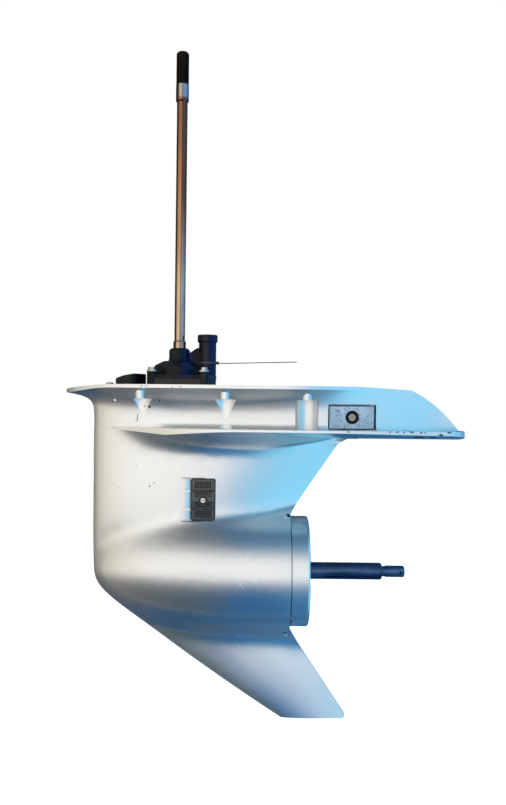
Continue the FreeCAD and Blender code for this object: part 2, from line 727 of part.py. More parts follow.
def screen_screw_place():
    return 0.5 * (INTAKE_X[0] + INTAKE_X[1]), 0.5 * (INTAKE_Z[0] + INTAKE_Z[1]) - 1.0


# Bevel gears: cut on the back cone, every line of a tooth running to the shared apex

CONE = math.hypot(GEAR_TEETH, PINION_TEETH) * MODULE / 2
INNER_SHARE = (CONE - FACE_WIDTH) / CONE


def tooth_outline(teeth, cone_angle, addendum, dedendum, thickness):
    """One tooth on the back cone, as (across, outwards) points from root to tip on one flank."""
    pitch_r = MODULE * teeth / 2 / math.cos(cone_angle)
    base_r = pitch_r * math.cos(PRESSURE_ANGLE)

    def roll(r):
        turn = math.acos(base_r / r)
        return math.tan(turn) - turn

    low = max(base_r * 1.001, pitch_r - dedendum)
    high = pitch_r + addendum
    flank = []
    for k in range(5):
        r = low + (high - low) * k / 4
        angle = thickness / 2 / pitch_r + roll(pitch_r) - roll(r)
        flank.append((r * math.sin(angle), r * math.cos(angle) - pitch_r))
    return flank, -dedendum - 0.8


def bevel_tooth(teeth, cone_angle, addendum, dedendum, thickness):
    """Tooth about +Z with its apex at the origin, centred on +X."""
    along = V(math.sin(cone_angle), 0, math.cos(cone_angle))
    outward = V(math.cos(cone_angle), 0, -math.sin(cone_angle))
    flank, sunk = tooth_outline(teeth, cone_angle, addendum, dedendum, thickness)

    def wire(share):
        def place(u, v):
            return (along * CONE + outward * v + V(0, u, 0)) * share
        left = [place(u, v) for u, v in flank]
        right = [place(-u, v) for u, v in flank]
        curves = []
        for points in (left, right[::-1]):
            curve = Part.BSplineCurve()
            curve.interpolate(points)
            curves.append(curve.toShape())
        low_left, low_right = place(flank[0][0], sunk), place(-flank[0][0], sunk)
        edges = [Part.makeLine(low_left, left[0]), curves[0], Part.makeLine(left[-1], right[-1]),
                 curves[1], Part.makeLine(right[0], low_right), Part.makeLine(low_right, low_left)]
        return Part.Wire(edges)

    return Part.makeLoft([wire(1.0), wire(INNER_SHARE)], True, True)


def bevel_wheel(teeth, mate, addendum, mate_addendum, body, phase):
    """Toothed wheel about +Z; body(outer_root, inner_root, outward) gives the blank's (r, z)."""
    cone_angle = math.atan2(teeth, mate)
    add = addendum * MODULE
    ded = (mate_addendum + TIP_CLEARANCE) * MODULE
    shift = (addendum - mate_addendum) / 2
    thickness = MODULE * (math.pi / 2 + 2 * shift * math.tan(PRESSURE_ANGLE)) - BACKLASH
    tooth = bevel_tooth(teeth, cone_angle, add, ded, thickness)
    radius = CONE * math.sin(cone_angle) - ded * math.cos(cone_angle)
    height = CONE * math.cos(cone_angle) + ded * math.sin(cone_angle)
    outward = (math.cos(cone_angle), -math.sin(cone_angle))
    blank = turned_z(body((radius, height), (radius * INNER_SHARE, height * INNER_SHARE), outward))
    return blank.fuse(turned_copies(tooth, teeth, V(0, 0, 0), V(0, 0, 1), phase))


def jaw_ring(low, high, phase):
    """Square dog jaws about +Z."""
    corners = [V(JAW_INNER_R, 0, low), V(JAW_OUTER_R, 0, low), V(JAW_OUTER_R, 0, high),
               V(JAW_INNER_R, 0, high)]
    face = Part.Face(Part.makePolygon(corners + corners[:1]))
    jaw = face.revolve(V(0, 0, 0), V(0, 0, 1), JAW_ANGLE)
    return turned_copies(jaw, JAWS, V(0, 0, 0), V(0, 0, 1), phase - JAW_ANGLE / 2)


def output_gear(hub_end, bore):
    def body(outer, inner, outward):
        back = (outer[0] - 4 * outward[0], outer[1] - 4 * outward[1])
        return [(bore, JAW_ROOT_X), (JAW_OUTER_R + 0.5, JAW_ROOT_X), inner, outer, back,
                (outer[0] - 6, GEAR_BACK_X), (GEAR_HUB_R, GEAR_BACK_X), (GEAR_HUB_R, hub_end),
                (bore, hub_end)]
    wheel = bevel_wheel(GEAR_TEETH, PINION_TEETH, GEAR_ADDENDUM, PINION_ADDENDUM, body,
                        180.0 / GEAR_TEETH)
    return wheel.fuse(jaw_ring(JAW_ROOT_X - JAW_HEIGHT, JAW_ROOT_X + 1, 0))


def on_shaft(wheel, side):
    """Turn a piece made about +Z to the propeller shaft's axis, facing forward (-1) or aft (1)."""
    wheel.rotate(V(0, 0, 0), V(0, 1, 0), 90 * side)
    wheel.translate(V(0, 0, PROP_Z))
    return wheel


def forward_gear():
    return on_shaft(output_gear(FORWARD_HUB_X, SHAFT_R + RUNNING), -1)


def reverse_gear():
    return on_shaft(output_gear(REVERSE_HUB_X, SHAFT_R + 1.0), 1)


NUT_LOW = 26.5


def pinion_gear():
    def body(outer, inner, outward):
        back = (outer[0] - 3 * outward[0], outer[1] - 3 * outward[1])
        return [(PINION_SEAT_R, PINION_NOSE), (inner[0] - 1.2, PINION_NOSE), inner, outer, back,
                (17, PINION_HUB - 4), (17, PINION_HUB), (PINION_SEAT_R, PINION_HUB)]
    wheel = bevel_wheel(PINION_TEETH, GEAR_TEETH, PINION_ADDENDUM, GEAR_ADDENDUM, body, 0.0)
    wheel.translate(V(0, 0, PROP_Z))
    return wheel


def pinion_nut():
    nut = hexagon(27, PROP_Z + NUT_LOW, PROP_Z + PINION_NOSE)
    return nut.cut(rod_z(PINION_THREAD_R, PROP_Z, PROP_Z + 60))


# Bearings

def roller_bearing(low, width, bore_r, outer_r, rollers, taper):
    """Tapered roller bearing about +Z: cone and cup as (r, z), and its rollers.

    taper is +1 where the bearing's large end is at its top, and -1 where it is at the bottom.
    """
    gap = 0.03
    middle = 0.5 * (bore_r + outer_r)
    lean = 0.13 * taper
    r_low, r_high = 0.23 * (outer_r - bore_r) * (1 - lean), 0.23 * (outer_r - bore_r) * (1 + lean)
    start, end = (middle - 6 * lean, low + 3), (middle + 6 * lean, low + width - 3)
    length = math.hypot(end[0] - start[0], end[1] - start[1])
    along = ((end[0] - start[0]) / length, (end[1] - start[1]) / length)
    normal = (along[1], -along[0])

    def race(side, s):
        r = r_low + (r_high - r_low) * s / length
        base = (start[0] + along[0] * s, start[1] + along[1] * s)
        offset = side * (r + gap)
        return base[0] + normal[0] * offset, base[1] + normal[1] * offset

    inner_low, inner_high = race(-1, -2), race(-1, length + 2)
    outer_low, outer_high = race(1, -2), race(1, length + 2)
    cone = [(bore_r, low), (inner_low[0], low), inner_low, inner_high, (inner_high[0], low + width),
            (bore_r, low + width)]
    cup = [(outer_low[0], low), (outer_r, low), (outer_r, low + width), (outer_high[0], low + width),
           outer_high, outer_low]
    roller = Part.makeCone(r_low, r_high, length, V(start[0], 0, start[1]), V(along[0], 0, along[1]))
    return cone, cup, turned_copies(roller, rollers, V(0, 0, 0), V(0, 0, 1))


def needles(pitch_r, radius, low, high, count):
    needle = Part.makeCylinder(radius, high - low, V(pitch_r, 0, low))
    return turned_copies(needle, count, V(0, 0, 0), V(0, 0, 1))


def drive_bearing():
    return roller_bearing(DRIVE_BEARING_LOW_Z, DRIVE_BEARING_WIDTH, DRIVE_BEARING_R,
                          DRIVE_BEARING_CUP_R, 14, 1)


def drive_bearing_cone():
    cone, _, rollers = drive_bearing()
    return Part.makeCompound([turned_z(cone)] + rollers)


def drive_bearing_cup():
    return turned_z(drive_bearing()[1])


def forward_bearing():
    """Made about +Z from the gear's back face towards the nose."""
    return roller_bearing(GEAR_BACK_X, DRIVE_BEARING_WIDTH, GEAR_HUB_R, FORWARD_CUP_R, 16, -1)


def forward_bearing_cone():
    cone, _, rollers = forward_bearing()
    return on_shaft(Part.makeCompound([turned_z(cone)] + rollers), -1)


def forward_bearing_cup():
    return on_shaft(turned_z(forward_bearing()[1]), -1)


BALL_R = 5.2
BALL_PITCH_R = 30.0
BALL_X = 52.0
BALL_BEARING_HALF = 8.0


def ball_race(inner, outer):
    ring = tube_z(outer, inner, BALL_X - BALL_BEARING_HALF, BALL_X + BALL_BEARING_HALF)
    groove = Part.makeTorus(BALL_PITCH_R, BALL_R + 0.03, V(0, 0, BALL_X))
    return ring.cut(groove)


def reverse_bearing_inner():
    return on_shaft(ball_race(GEAR_HUB_R, 26.5), 1)


def reverse_bearing_outer():
    ball = Part.makeSphere(BALL_R, V(BALL_PITCH_R, 0, BALL_X))
    balls = turned_copies(ball, 11, V(0, 0, 0), V(0, 0, 1))
    return on_shaft(Part.makeCompound([ball_race(33.5, HOLDER_SEAT_R)] + balls), 1)


def pinion_needle_bearing():
    high = NEEDLE_LOW_Z + NEEDLE_LENGTH
    shell = tube_z(NEEDLE_SHELL_R, 18.05, NEEDLE_LOW_Z, high)
    pitch_r = PINION_JOURNAL_R + 2.9 + RUNNING
    return Part.makeCompound([shell] + needles(pitch_r, 2.9, NEEDLE_LOW_Z + 2, high - 2, 15))


HOLDER_NEEDLE_X = (160.0, 178.0)
HOLDER_NEEDLE_R = 18.0


def holder_needle_bearing():
    low, high = HOLDER_NEEDLE_X
    shell = tube_z(HOLDER_NEEDLE_R, SHAFT_R + 3.2, low, high)
    rollers = needles(SHAFT_R + 1.5 + RUNNING, 1.5, low + 2, high - 2, 20)
    return on_shaft(Part.makeCompound([shell] + rollers), 1)


# Drive shaft

def splined(shaft, radius, low, high, count, depth):
    """Cut straight grooves in a shaft about +Z."""
    width = math.pi * radius / count
    groove = box((radius - depth, radius + 3), (-width / 2, width / 2), (low, high))
    return shaft.cut(turned_copies(groove, count, V(0, 0, 0), V(0, 0, 1)))


KEY_Z = (11.5, 26.5)
KEY_HALF = 1.6
KEY_DEPTH = 2.0


def drive_shaft():
    seat_low = PROP_Z + PINION_NOSE
    seat_high = PROP_Z + PINION_HUB
    head_low = DRIVE_TOP_Z - DRIVE_HEAD_LENGTH
    spline_low = DRIVE_TOP_Z - DRIVE_SPLINE_LENGTH
    collar = DRIVE_BEARING_LOW_Z
    points = [(0, PROP_Z + NUT_LOW - 1), (PINION_THREAD_R - 1, PROP_Z + NUT_LOW - 1),
              (PINION_THREAD_R, PROP_Z + NUT_LOW), (PINION_THREAD_R, seat_low),
              (PINION_SEAT_R, seat_low), (PINION_SEAT_R, seat_high), (PINION_JOURNAL_R, seat_high),
              (PINION_JOURNAL_R, NEEDLE_LOW_Z + NEEDLE_LENGTH + 3),
              (DRIVE_R, NEEDLE_LOW_Z + NEEDLE_LENGTH + 8), (DRIVE_R, collar - 8),
              (15.5, collar - 4), (15.5, collar), (DRIVE_BEARING_R, collar),
              (DRIVE_BEARING_R, collar + DRIVE_BEARING_WIDTH + 1),
              (DRIVE_R, collar + DRIVE_BEARING_WIDTH + 4), (DRIVE_R, DRIVE_SLIM_LOW_Z - 2),
              (DRIVE_SLIM_R, DRIVE_SLIM_LOW_Z), (DRIVE_SLIM_R, head_low - 2),
              (DRIVE_HEAD_R, head_low), (DRIVE_HEAD_R, spline_low), (DRIVE_SPLINE_R, spline_low),
              (DRIVE_SPLINE_R, DRIVE_TOP_Z - 2.5), (DRIVE_SPLINE_R - 2, DRIVE_TOP_Z), (0, DRIVE_TOP_Z)]
    shaft = splined(turned_z(points), DRIVE_SPLINE_R, spline_low, DRIVE_TOP_Z + 1, DRIVE_SPLINES, 1.1)
    return shaft.cut(box((DRIVE_R - KEY_DEPTH, DRIVE_R + 2), (-KEY_HALF, KEY_HALF), KEY_Z))


def impeller_key():
    return box((DRIVE_R - KEY_DEPTH, DRIVE_R + KEY_DEPTH), (-KEY_HALF, KEY_HALF), KEY_Z)


def impeller():
    """Six vanes on a hub, driven by the key."""
    low, high = BASE_TOP_Z + WEAR_PLATE + 0.4, LINER_TOP_Z - LINER_WALL - 0.4
    bulb_r = 2.4
    vane = box((11, IMPELLER_R - bulb_r), (-1.7, 1.7), (low, high))
    vane = vane.fuse(rod_z(bulb_r, low, high, IMPELLER_R - bulb_r))
    wheel = rod_z(14, low, high).fuse(turned_copies(vane, 6, V(0, 0, 0), V(0, 0, 1)))
    keyway = box((0, DRIVE_R + KEY_DEPTH), (-KEY_HALF, KEY_HALF), (low - 1, high + 1))
    return wheel.cut([rod_z(DRIVE_R, low - 1, high + 1), keyway])


# Propeller shaft, clutch and shift linkage

def prop_shaft():
    end = SHAFT_END_X
    points = [(SHAFT_FRONT_X, 0), (SHAFT_FRONT_X, SHAFT_R - 1), (SHAFT_FRONT_X + 1, SHAFT_R),
              (SHAFT_SHOULDER_X - 2, SHAFT_R), (SHAFT_SHOULDER_X, SHAFT_R - 2),
              (SHAFT_SHOULDER_X, 7.6), (SHAFT_SHOULDER_X + 6, 7.6),
              (SHAFT_SHOULDER_X + 6, SHAFT_THREAD_R), (end - 1.5, SHAFT_THREAD_R),
              (end, SHAFT_THREAD_R - 1.5), (end, 0)]
    shaft = turned_x(points)
    reach = TRAVEL + CROSS_PIN_R + 0.3
    slot = box((-reach, reach), (-20, 20), (PROP_Z - CROSS_PIN_R - 0.1, PROP_Z + CROSS_PIN_R + 0.1))
    bore = rod_x(SHAFT_BORE_R, SHAFT_FRONT_X - 1, reach + 4)
    width = math.pi * SHAFT_R / SHAFT_SPLINES
    groove = box((SHAFT_SPLINE_X, SHAFT_SHOULDER_X + 1), (-width / 2, width / 2),
                 (PROP_Z + SHAFT_R - 1.3, PROP_Z + SHAFT_R + 3))
    grooves = turned_copies(groove, SHAFT_SPLINES, V(0, 0, PROP_Z), V(1, 0, 0))
    hole = rod_y(2.0, -20, 20, SHAFT_END_X - 6, PROP_Z)
    return shaft.cut([slot, bore, hole] + grooves)


RING_SPRING_R = 1.2


def clutch_dog():
    """Sliding dog with jaws on both faces, set half a pitch round from the gears' jaws."""
    half_pitch = 180.0 / JAWS
    dog = tube_z(DOG_R, SHAFT_R + RUNNING, -DOG_HALF, DOG_HALF)
    dog = dog.fuse(jaw_ring(DOG_HALF - 0.5, DOG_HALF + JAW_HEIGHT, half_pitch))
    dog = dog.fuse(jaw_ring(-DOG_HALF - JAW_HEIGHT, 0.5 - DOG_HALF, half_pitch))
    groove = tube_z(DOG_R + 2, DOG_R - 2 * RING_SPRING_R, -RING_SPRING_R, RING_SPRING_R)
    dog = on_shaft(dog.cut(groove), 1)
    return dog.cut(rod_y(CROSS_PIN_R, -DOG_R, DOG_R, 0, PROP_Z))


def clutch_cross_pin():
    half = DOG_R - 2 * RING_SPRING_R - 0.4
    return rod_y(CROSS_PIN_R, -half, half, 0, PROP_Z)


def clutch_ring_spring():
    coil = Part.makeTorus(DOG_R - RING_SPRING_R, RING_SPRING_R - 0.02, V(0, 0, PROP_Z), V(1, 0, 0))
    return coil


SPOOL_FRONT_X = -14.0
KNOB = (-25.0, -20.0)
KNOB_R = 4.2
NECK_R = 2.2


def shift_spool():
    """Turns with the shaft: the pin goes through it and its knob hangs in the slider."""
    r = SHAFT_BORE_R - RUNNING
    points = [(KNOB[0], 0), (KNOB[0], KNOB_R), (KNOB[1], KNOB_R), (KNOB[1], NECK_R),
              (SPOOL_FRONT_X, NECK_R), (SPOOL_FRONT_X, r), (6, r), (6, 0)]
    return turned_x(points).cut(rod_y(CROSS_PIN_R, -20, 20, 0, PROP_Z))


def shift_slider():
    """Slides in the shaft's bore: yoke round the crank pin in front, socket for the knob aft."""
    r = SHAFT_BORE_R - RUNNING
    slot_half = CRANK_PIN_R + YOKE_PLAY
    block = box((ROD_X - slot_half - YOKE_WALL, ROD_X + slot_half + YOKE_WALL),
                YOKE_Y, (PROP_Z - YOKE_HALF_Z, PROP_Z + YOKE_HALF_Z))
    rod = rod_x(r, ROD_X + slot_half + 1, SPOOL_FRONT_X - 2)
    body = block.fuse(rod)
    slot = box((ROD_X - slot_half, ROD_X + slot_half), YOKE_SLOT_Y, (PROP_Z - 20, PROP_Z + 20))
    cavity = rod_x(KNOB_R + 0.15, KNOB[0] - 0.2, KNOB[1] + 0.2)
    cavity_way = box((KNOB[0] - 0.2, KNOB[1] + 0.2), (0, 20), (PROP_Z - 4.35, PROP_Z + 4.35))
    throat = rod_x(NECK_R + 0.2, KNOB[1], SPOOL_FRONT_X)
    throat_way = box((KNOB[1], SPOOL_FRONT_X), (0, 20), (PROP_Z - 2.4, PROP_Z + 2.4))
    return body.cut([slot, cavity, cavity_way, throat, throat_way])


def shift_rod():
    """Upright rod with a crank at its foot; its top is squared for the driver above."""
    rod = rod_z(ROD_R, CRANK_LOW_Z + 1, ROD_TOP_Z, ROD_X)
    crank = rod_z(CRANK_R, CRANK_LOW_Z, CRANK_LOW_Z + CRANK_THICK, ROD_X)
    pin = rod_z(CRANK_PIN_R, PROP_Z - 6, CRANK_LOW_Z + 1, ROD_X, CRANK_THROW)
    rod = rod.fuse([crank, pin])
    flats = [box((ROD_X - 10, ROD_X + 10), span, (ROD_TOP_Z - 10, ROD_TOP_Z + 1))
             for span in ((4.2, 10), (-10, -4.2))]
    return rod.cut(flats)


COVER_X = -72.5
COVER_HALF_X = 22.5
COVER_HALF_Y = 25.0
COVER_BOLT_X = -64.0
COVER_BOLT_Y = 15.8
COVER_LOW = 9.0
COVER_TOP = 16.5


def shift_cover_outline(low, high, grow=0.0):
    oval = Part.Ellipse(V(COVER_X, 0, low), COVER_HALF_Y + grow, COVER_HALF_X + grow)
    face = Part.Face(Part.Wire(oval.toShape()))
    face.rotate(V(COVER_X, 0, 0), V(0, 0, 1), 90)
    return face.extrude(V(0, 0, high - low))


def shift_cover():
    """Low cap over the shift rod's seal, its top sloping down to the front."""
    blank = shift_cover_outline(-PAD, COVER_TOP + 5)
    front, rear = COVER_X - COVER_HALF_X, COVER_X + COVER_HALF_X
    top = [(front - 5, COVER_LOW - 1), (front, COVER_LOW), (front + 16, COVER_TOP - 2.5),
           (front + 30, COVER_TOP), (rear + 5, COVER_TOP), (rear + 5, 40), (front - 5, 40)]
    cuts = [prism_y(top, 60), rod_z(ROD_R + 3, 5, 40, ROD_X), rod_z(ROD_R + 0.4, -1, 40, ROD_X)]
    for y in (-COVER_BOLT_Y, COVER_BOLT_Y):
        cuts += [rod_z(2.6, -1, 40, COVER_BOLT_X, y), rod_z(5.2, 8.0, 40, COVER_BOLT_X, y)]
    return blank.cut(cuts)


def socket_screw(x, y, seat, shank_r, head_r, shank, head):
    """Cap screw about +Z with a hexagon socket."""
    screw = rod_z(shank_r, seat - shank, seat, x, y).fuse(rod_z(head_r, seat, seat + head, x, y))
    return screw.cut(hexagon(head_r, seat + 0.4 * head, seat + head + 1, x, y))


def shift_cover_screws():
    return Part.makeCompound([socket_screw(COVER_BOLT_X, y, 8.0, 2.5, 4.6, 20, 5)
                              for y in (-COVER_BOLT_Y, COVER_BOLT_Y)])


def shift_rod_seal():
    """Sleeve and seal round the rod in the deck."""
    return tube_z(9.0, ROD_R + RUNNING, -14, -1, ROD_X)


# Propeller shaft holder

def prop_shaft_holder():
    """Spider behind the gears: front flange, hub tube, four webs and the ring that shows."""
    nose = GEAR_CHAMBER_R - RUNNING
    hub = turned_x([(HOLDER_FRONT_X, HOLDER_SEAT_R), (HOLDER_FRONT_X, nose), (54, nose),
                    (54, nose - 3.2), (57.6, nose - 3.2), (57.6, nose), (66, nose), (72, 44),
                    (82, HOLDER_HUB_R + 2), (100, HOLDER_HUB_R), (HOLDER_REAR_X - 3, HOLDER_HUB_R),
                    (HOLDER_REAR_X - 3, 19), (180, 19), (180, HOLDER_NEEDLE_R),
                    (160, HOLDER_NEEDLE_R), (160, 16.5), (66, 16.5), (66, 22),
                    (60, 22), (60, HOLDER_SEAT_R)])
    ring_front = TORPEDO_END_X
    ring = turned_x([(ring_front - 6, HOLDER_RING_INNER_R), (HOLDER_REAR_X - 2, HOLDER_RING_INNER_R),
                     (HOLDER_REAR_X, HOLDER_RING_INNER_R + 2), (HOLDER_REAR_X, TORPEDO_R - 3),
                     (HOLDER_REAR_X - 0.9, TORPEDO_R - 0.9), (HOLDER_REAR_X - 3, TORPEDO_R),
                     (ring_front + SEAM, TORPEDO_R), (ring_front + SEAM, TORPEDO_R - 2.2),
                     (ring_front, TORPEDO_R - 2.2), (ring_front, EXHAUST_R - RUNNING),
                     (ring_front - 6, EXHAUST_R - RUNNING)])
    webs = []
    web_r = HOLDER_RING_INNER_R + 1
    for k in range(4):
        web = prism_y([(120, PROP_Z + 22), (150, PROP_Z + web_r), (186, PROP_Z + web_r),
                       (190, PROP_Z + 22)], 4.5)
        web.rotate(V(0, 0, PROP_Z), V(1, 0, 0), 45 + 90 * k)
        webs.append(web)
    webs = [web.common(turned_x([(100, 20), (200, 20), (200, web_r), (100, web_r)])) for web in webs]
    body = hub.fuse([ring] + webs)
    cuts = []
    for y, z in holder_bolt_places():
        cuts.append(rod_x(4.3, TORPEDO_END_X - 8, HOLDER_REAR_X + 5, y, z))
        cuts.append(rod_x(6.6, HOLDER_REAR_X - 9, HOLDER_REAR_X + 5, y, z))
    notch = box((ring_front - 1, ring_front + 3), (-TORPEDO_R, TORPEDO_R), (-6, 6))
    notch = notch.common(rod_x(TORPEDO_R + 2, 160, 200, 0, 0).cut(rod_x(TORPEDO_R - 6, 150, 210, 0, 0)))
    notch.rotate(V(0, 0, 0), V(1, 0, 0), 50)
    notch.translate(V(0, 0, PROP_Z))
    return body.cut(cuts + [notch])


def holder_bolts():
    bolts = []
    for y, z in holder_bolt_places():
        seat = HOLDER_REAR_X - 9
        head = rod_x(6.2, seat, seat + 7, y, z)
        socket = hexagon(6.5, 0, 5)
        socket.rotate(V(0, 0, 0), V(0, 1, 0), 90)
        socket.translate(V(seat + 3, y, z))
        bolts.append(rod_x(4.0, TORPEDO_END_X - 20, seat, y, z).fuse(head).cut(socket))
    return Part.makeCompound(bolts)


def holder_o_ring():
    nose = GEAR_CHAMBER_R - RUNNING
    return Part.makeTorus(nose - 1.6, 1.55, V(55.8, 0, PROP_Z), V(1, 0, 0))


def seal_pair(outer, shaft_r, low, high):
    """Two lip seals back to back, about +Z."""
    middle = 0.5 * (low + high)
    seals = []
    for a, b in ((low, middle), (middle, high)):
        lip = shaft_r + 0.08
        seals.append(turned_z([(lip, a + 1.5), (lip + 0.8, a), (outer, a), (outer, b),
                               (lip + 3, b), (lip + 3, a + 2.5), (lip, a + 2.5)]))
    return Part.makeCompound(seals)


def prop_shaft_seals():
    return on_shaft(seal_pair(19, SHAFT_R, 180, HOLDER_REAR_X - 5), 1)


def reverse_thrust_washer():
    return on_shaft(tube_z(21.5, SHAFT_R + 1, REVERSE_HUB_X + 0.3, 65.9), 1)


# Water pump and seal housing

def seal_housing():
    """Closes the drive shaft's bore under the pump and holds its seals."""
    low = DRIVE_BEARING_LOW_Z + DRIVE_BEARING_WIDTH
    r = DRIVE_BEARING_CUP_R
    body = turned_z([(26, low), (r, low), (r, -PAD), (17, -PAD), (17, -18), (12, -18), (12, -40),
                     (22, -48), (24, low + 6)])
    return body


def drive_shaft_seals():
    return seal_pair(17, DRIVE_R, -18, -2)


def rounded_hull(places, low, high):
    """Slab whose outline wraps circles given as (x, y, r), in counter-clockwise order."""
    slabs = [rod_z(r, low, high, x, y) for x, y, r in places]
    core = []
    for k, (x, y, r) in enumerate(places):
        nx, ny, nr = places[(k + 1) % len(places)]
        length = math.hypot(nx - x, ny - y)
        ux, uy = (nx - x) / length, (ny - y) / length
        swing = math.asin((r - nr) / length)
        ox = uy * math.cos(swing) + ux * math.sin(swing)
        oy = -ux * math.cos(swing) + uy * math.sin(swing)
        core += [V(x + ox * r, y + oy * r, low), V(nx + ox * nr, ny + oy * nr, low)]
    middle = Part.Face(Part.makePolygon(core + core[:1])).extrude(V(0, 0, high - low))
    return middle.fuse(slabs).removeSplitter()


def pump_outline(low, high, grow=0.0):
    r = PUMP_LUG_R + grow
    left, right = PUMP_BOLT_XS
    y = PUMP_BOLT_Y
    tower = (TOWER_X, 0, TOWER_R + 0.6 + grow)
    return rounded_hull([(left, -y, r), (right, -y, r), tower, (right, y, r), (left, y, r)], low, high)


def pump_feet(low, high, grow=0.0):
    """Lugs and outlet tower, which stand on the gasket beside the base plate."""
    feet = [rod_z(PUMP_LUG_R + grow, low, high, x, side * PUMP_BOLT_Y)
            for x in PUMP_BOLT_XS for side in (-1, 1)]
    return feet + [rod_z(TOWER_R + grow, low, high, TOWER_X)]


def pump_bolt_holes(low, high):
    return [rod_z(3.2, low, high, x, side * PUMP_BOLT_Y) for x in PUMP_BOLT_XS for side in (-1, 1)]


def inlet_channel():
    """From the riser along the underside of tower and base to the inlet port."""
    x, y = PUMP_INLET
    return rounded_hull([(x, y, 5.0), (TOWER_X + 1, 0, 5.0)], -1, 6)


def base_gasket():
    holes = pump_bolt_holes(-1, 2) + [rod_z(20, -1, 2), rod_z(6.0, -1, 2, TOWER_X + 1)]
    return pump_outline(-PAD, GASKET - PAD).cut(holes)


def pump_base():
    holes = [rod_z(DRIVE_R + 0.6, -1, 20), rod_z(PUMP_INLET_R, -1, 20, *PUMP_INLET), inlet_channel()]
    return pump_outline(GASKET - PAD, BASE_TOP_Z, -1.0).cut(holes + pump_feet(-1, 20, FOOT_GAP))


def wear_plate():
    holes = [rod_z(DRIVE_R + 0.6, -1, 20), rod_z(PUMP_INLET_R, -1, 20, *PUMP_INLET)]
    sheet = pump_outline(BASE_TOP_Z, BASE_TOP_Z + WEAR_PLATE, -3.0)
    return sheet.cut(holes + pump_feet(-1, 20, FOOT_GAP))


def impeller_liner():
    low = BASE_TOP_Z + WEAR_PLATE
    outer = LINER_R
    cup = turned_z([(0, low), (outer, low), (outer, LINER_TOP_Z), (0, LINER_TOP_Z)], PUMP_X)
    inside = rod_z(outer - LINER_WALL, low - 1, LINER_TOP_Z - LINER_WALL, PUMP_X)
    window = box((20, 40), PUMP_OUTLET_Y, (low - 1, LINER_TOP_Z - 4))
    return cup.cut([inside, window, rod_z(DRIVE_R + 0.6, 0, 60)])


def pump_housing():
    """Domed body, shaft neck, outlet tower with its collar, four bolt lugs and stiffening ribs."""
    low = BASE_TOP_Z + WEAR_PLATE
    foot = GASKET - PAD
    dome = turned_z([(0, low), (PUMP_R, low), (PUMP_R, PUMP_SHOULDER_Z - 3),
                     (PUMP_R - 1, PUMP_SHOULDER_Z), (PUMP_R - 6, PUMP_SHOULDER_Z + 3),
                     (22, PUMP_NECK_LOW_Z), (0, PUMP_NECK_LOW_Z)], PUMP_X)
    neck = turned_z([(0, low + 10), (PUMP_NECK_R + 1.5, PUMP_NECK_LOW_Z),
                     (PUMP_NECK_R, PUMP_NECK_LOW_Z + 4), (PUMP_NECK_R, PUMP_NECK_TOP_Z - 3),
                     (PUMP_NECK_R - 3, PUMP_NECK_TOP_Z), (0, PUMP_NECK_TOP_Z)])
    tower = turned_z([(0, foot), (TOWER_R, foot), (TOWER_R, TOWER_CAP_LOW_Z),
                      (TOWER_CAP_R, TOWER_CAP_LOW_Z + 2), (TOWER_CAP_R, TOWER_TOP_Z - 1),
                      (TOWER_CAP_R - 1, TOWER_TOP_Z), (0, TOWER_TOP_Z)], TOWER_X)
    flange = pump_outline(BASE_TOP_Z, low + 5).cut(pump_outline(BASE_TOP_Z - 1, low, -2.8))
    parts = [neck, tower, flange] + pump_feet(foot, PUMP_LUG_TOP_Z)
    parts.append(prism_y([(10, 30), (36, 30), (36, 58), (26, 56), (14, 48)], 4))
    for y in (-8, 8):
        rib = prism_y([(16, 25), (36, 25), (36, 54), (22, 40)], 1.25)
        rib.translate(V(0, y, 0))
        parts.append(rib)
    for k in range(5):
        rib = prism_y([(-PUMP_R - 1.2, low), (-20, low), (-20, PUMP_SHOULDER_Z), (-PUMP_R - 1.2, 24)], 1.2)
        rib.rotate(V(0, 0, 0), V(0, 0, 1), 60 - 30 * k)
        rib.translate(V(PUMP_X, 0, 0))
        parts.append(rib)
    body = dome.fuse(parts)
    chamber = rod_z(LINER_R, low - 1, LINER_TOP_Z, PUMP_X)
    outlet = box((0, TOWER_X), PUMP_OUTLET_Y, (low + 1, LINER_TOP_Z - 4))
    cuts = [chamber, outlet, rod_z(DRIVE_R + 0.8, 0, 80), rod_z(TUBE_R - 0.8, low + 1, 80, TOWER_X),
            rod_z(11, TOWER_CAP_LOW_Z, 80, TOWER_X), inlet_channel()]
    return body.cut(cuts + pump_bolt_holes(-1, 40))


def water_tube_seal():
    return tube_z(11, TUBE_R, TOWER_CAP_LOW_Z, TOWER_TOP_Z - 0.5, TOWER_X)


def pump_washers():
    top = PUMP_LUG_TOP_Z + PUMP_WASHER
    return Part.makeCompound([tube_z(8.2, 3.2, PUMP_LUG_TOP_Z, top, x, s * PUMP_BOLT_Y)
                              for x in PUMP_BOLT_XS for s in (-1, 1)])


def pump_bolts():
    bolts = []
    seat = PUMP_LUG_TOP_Z + PUMP_WASHER
    for x in PUMP_BOLT_XS:
        for side in (-1, 1):
            y = side * PUMP_BOLT_Y
            bolt = rod_z(3.0, -20, seat, x, y).fuse(hexagon(10, seat, seat + PUMP_HEAD, x, y))
            bolts.append(bolt)
    return Part.makeCompound(bolts)


TIE_Z = (33.0, 35.5)
TIE_THICK = 1.2
TIE_TAIL_END_X = 176.0
TIE_RISE = 3.6


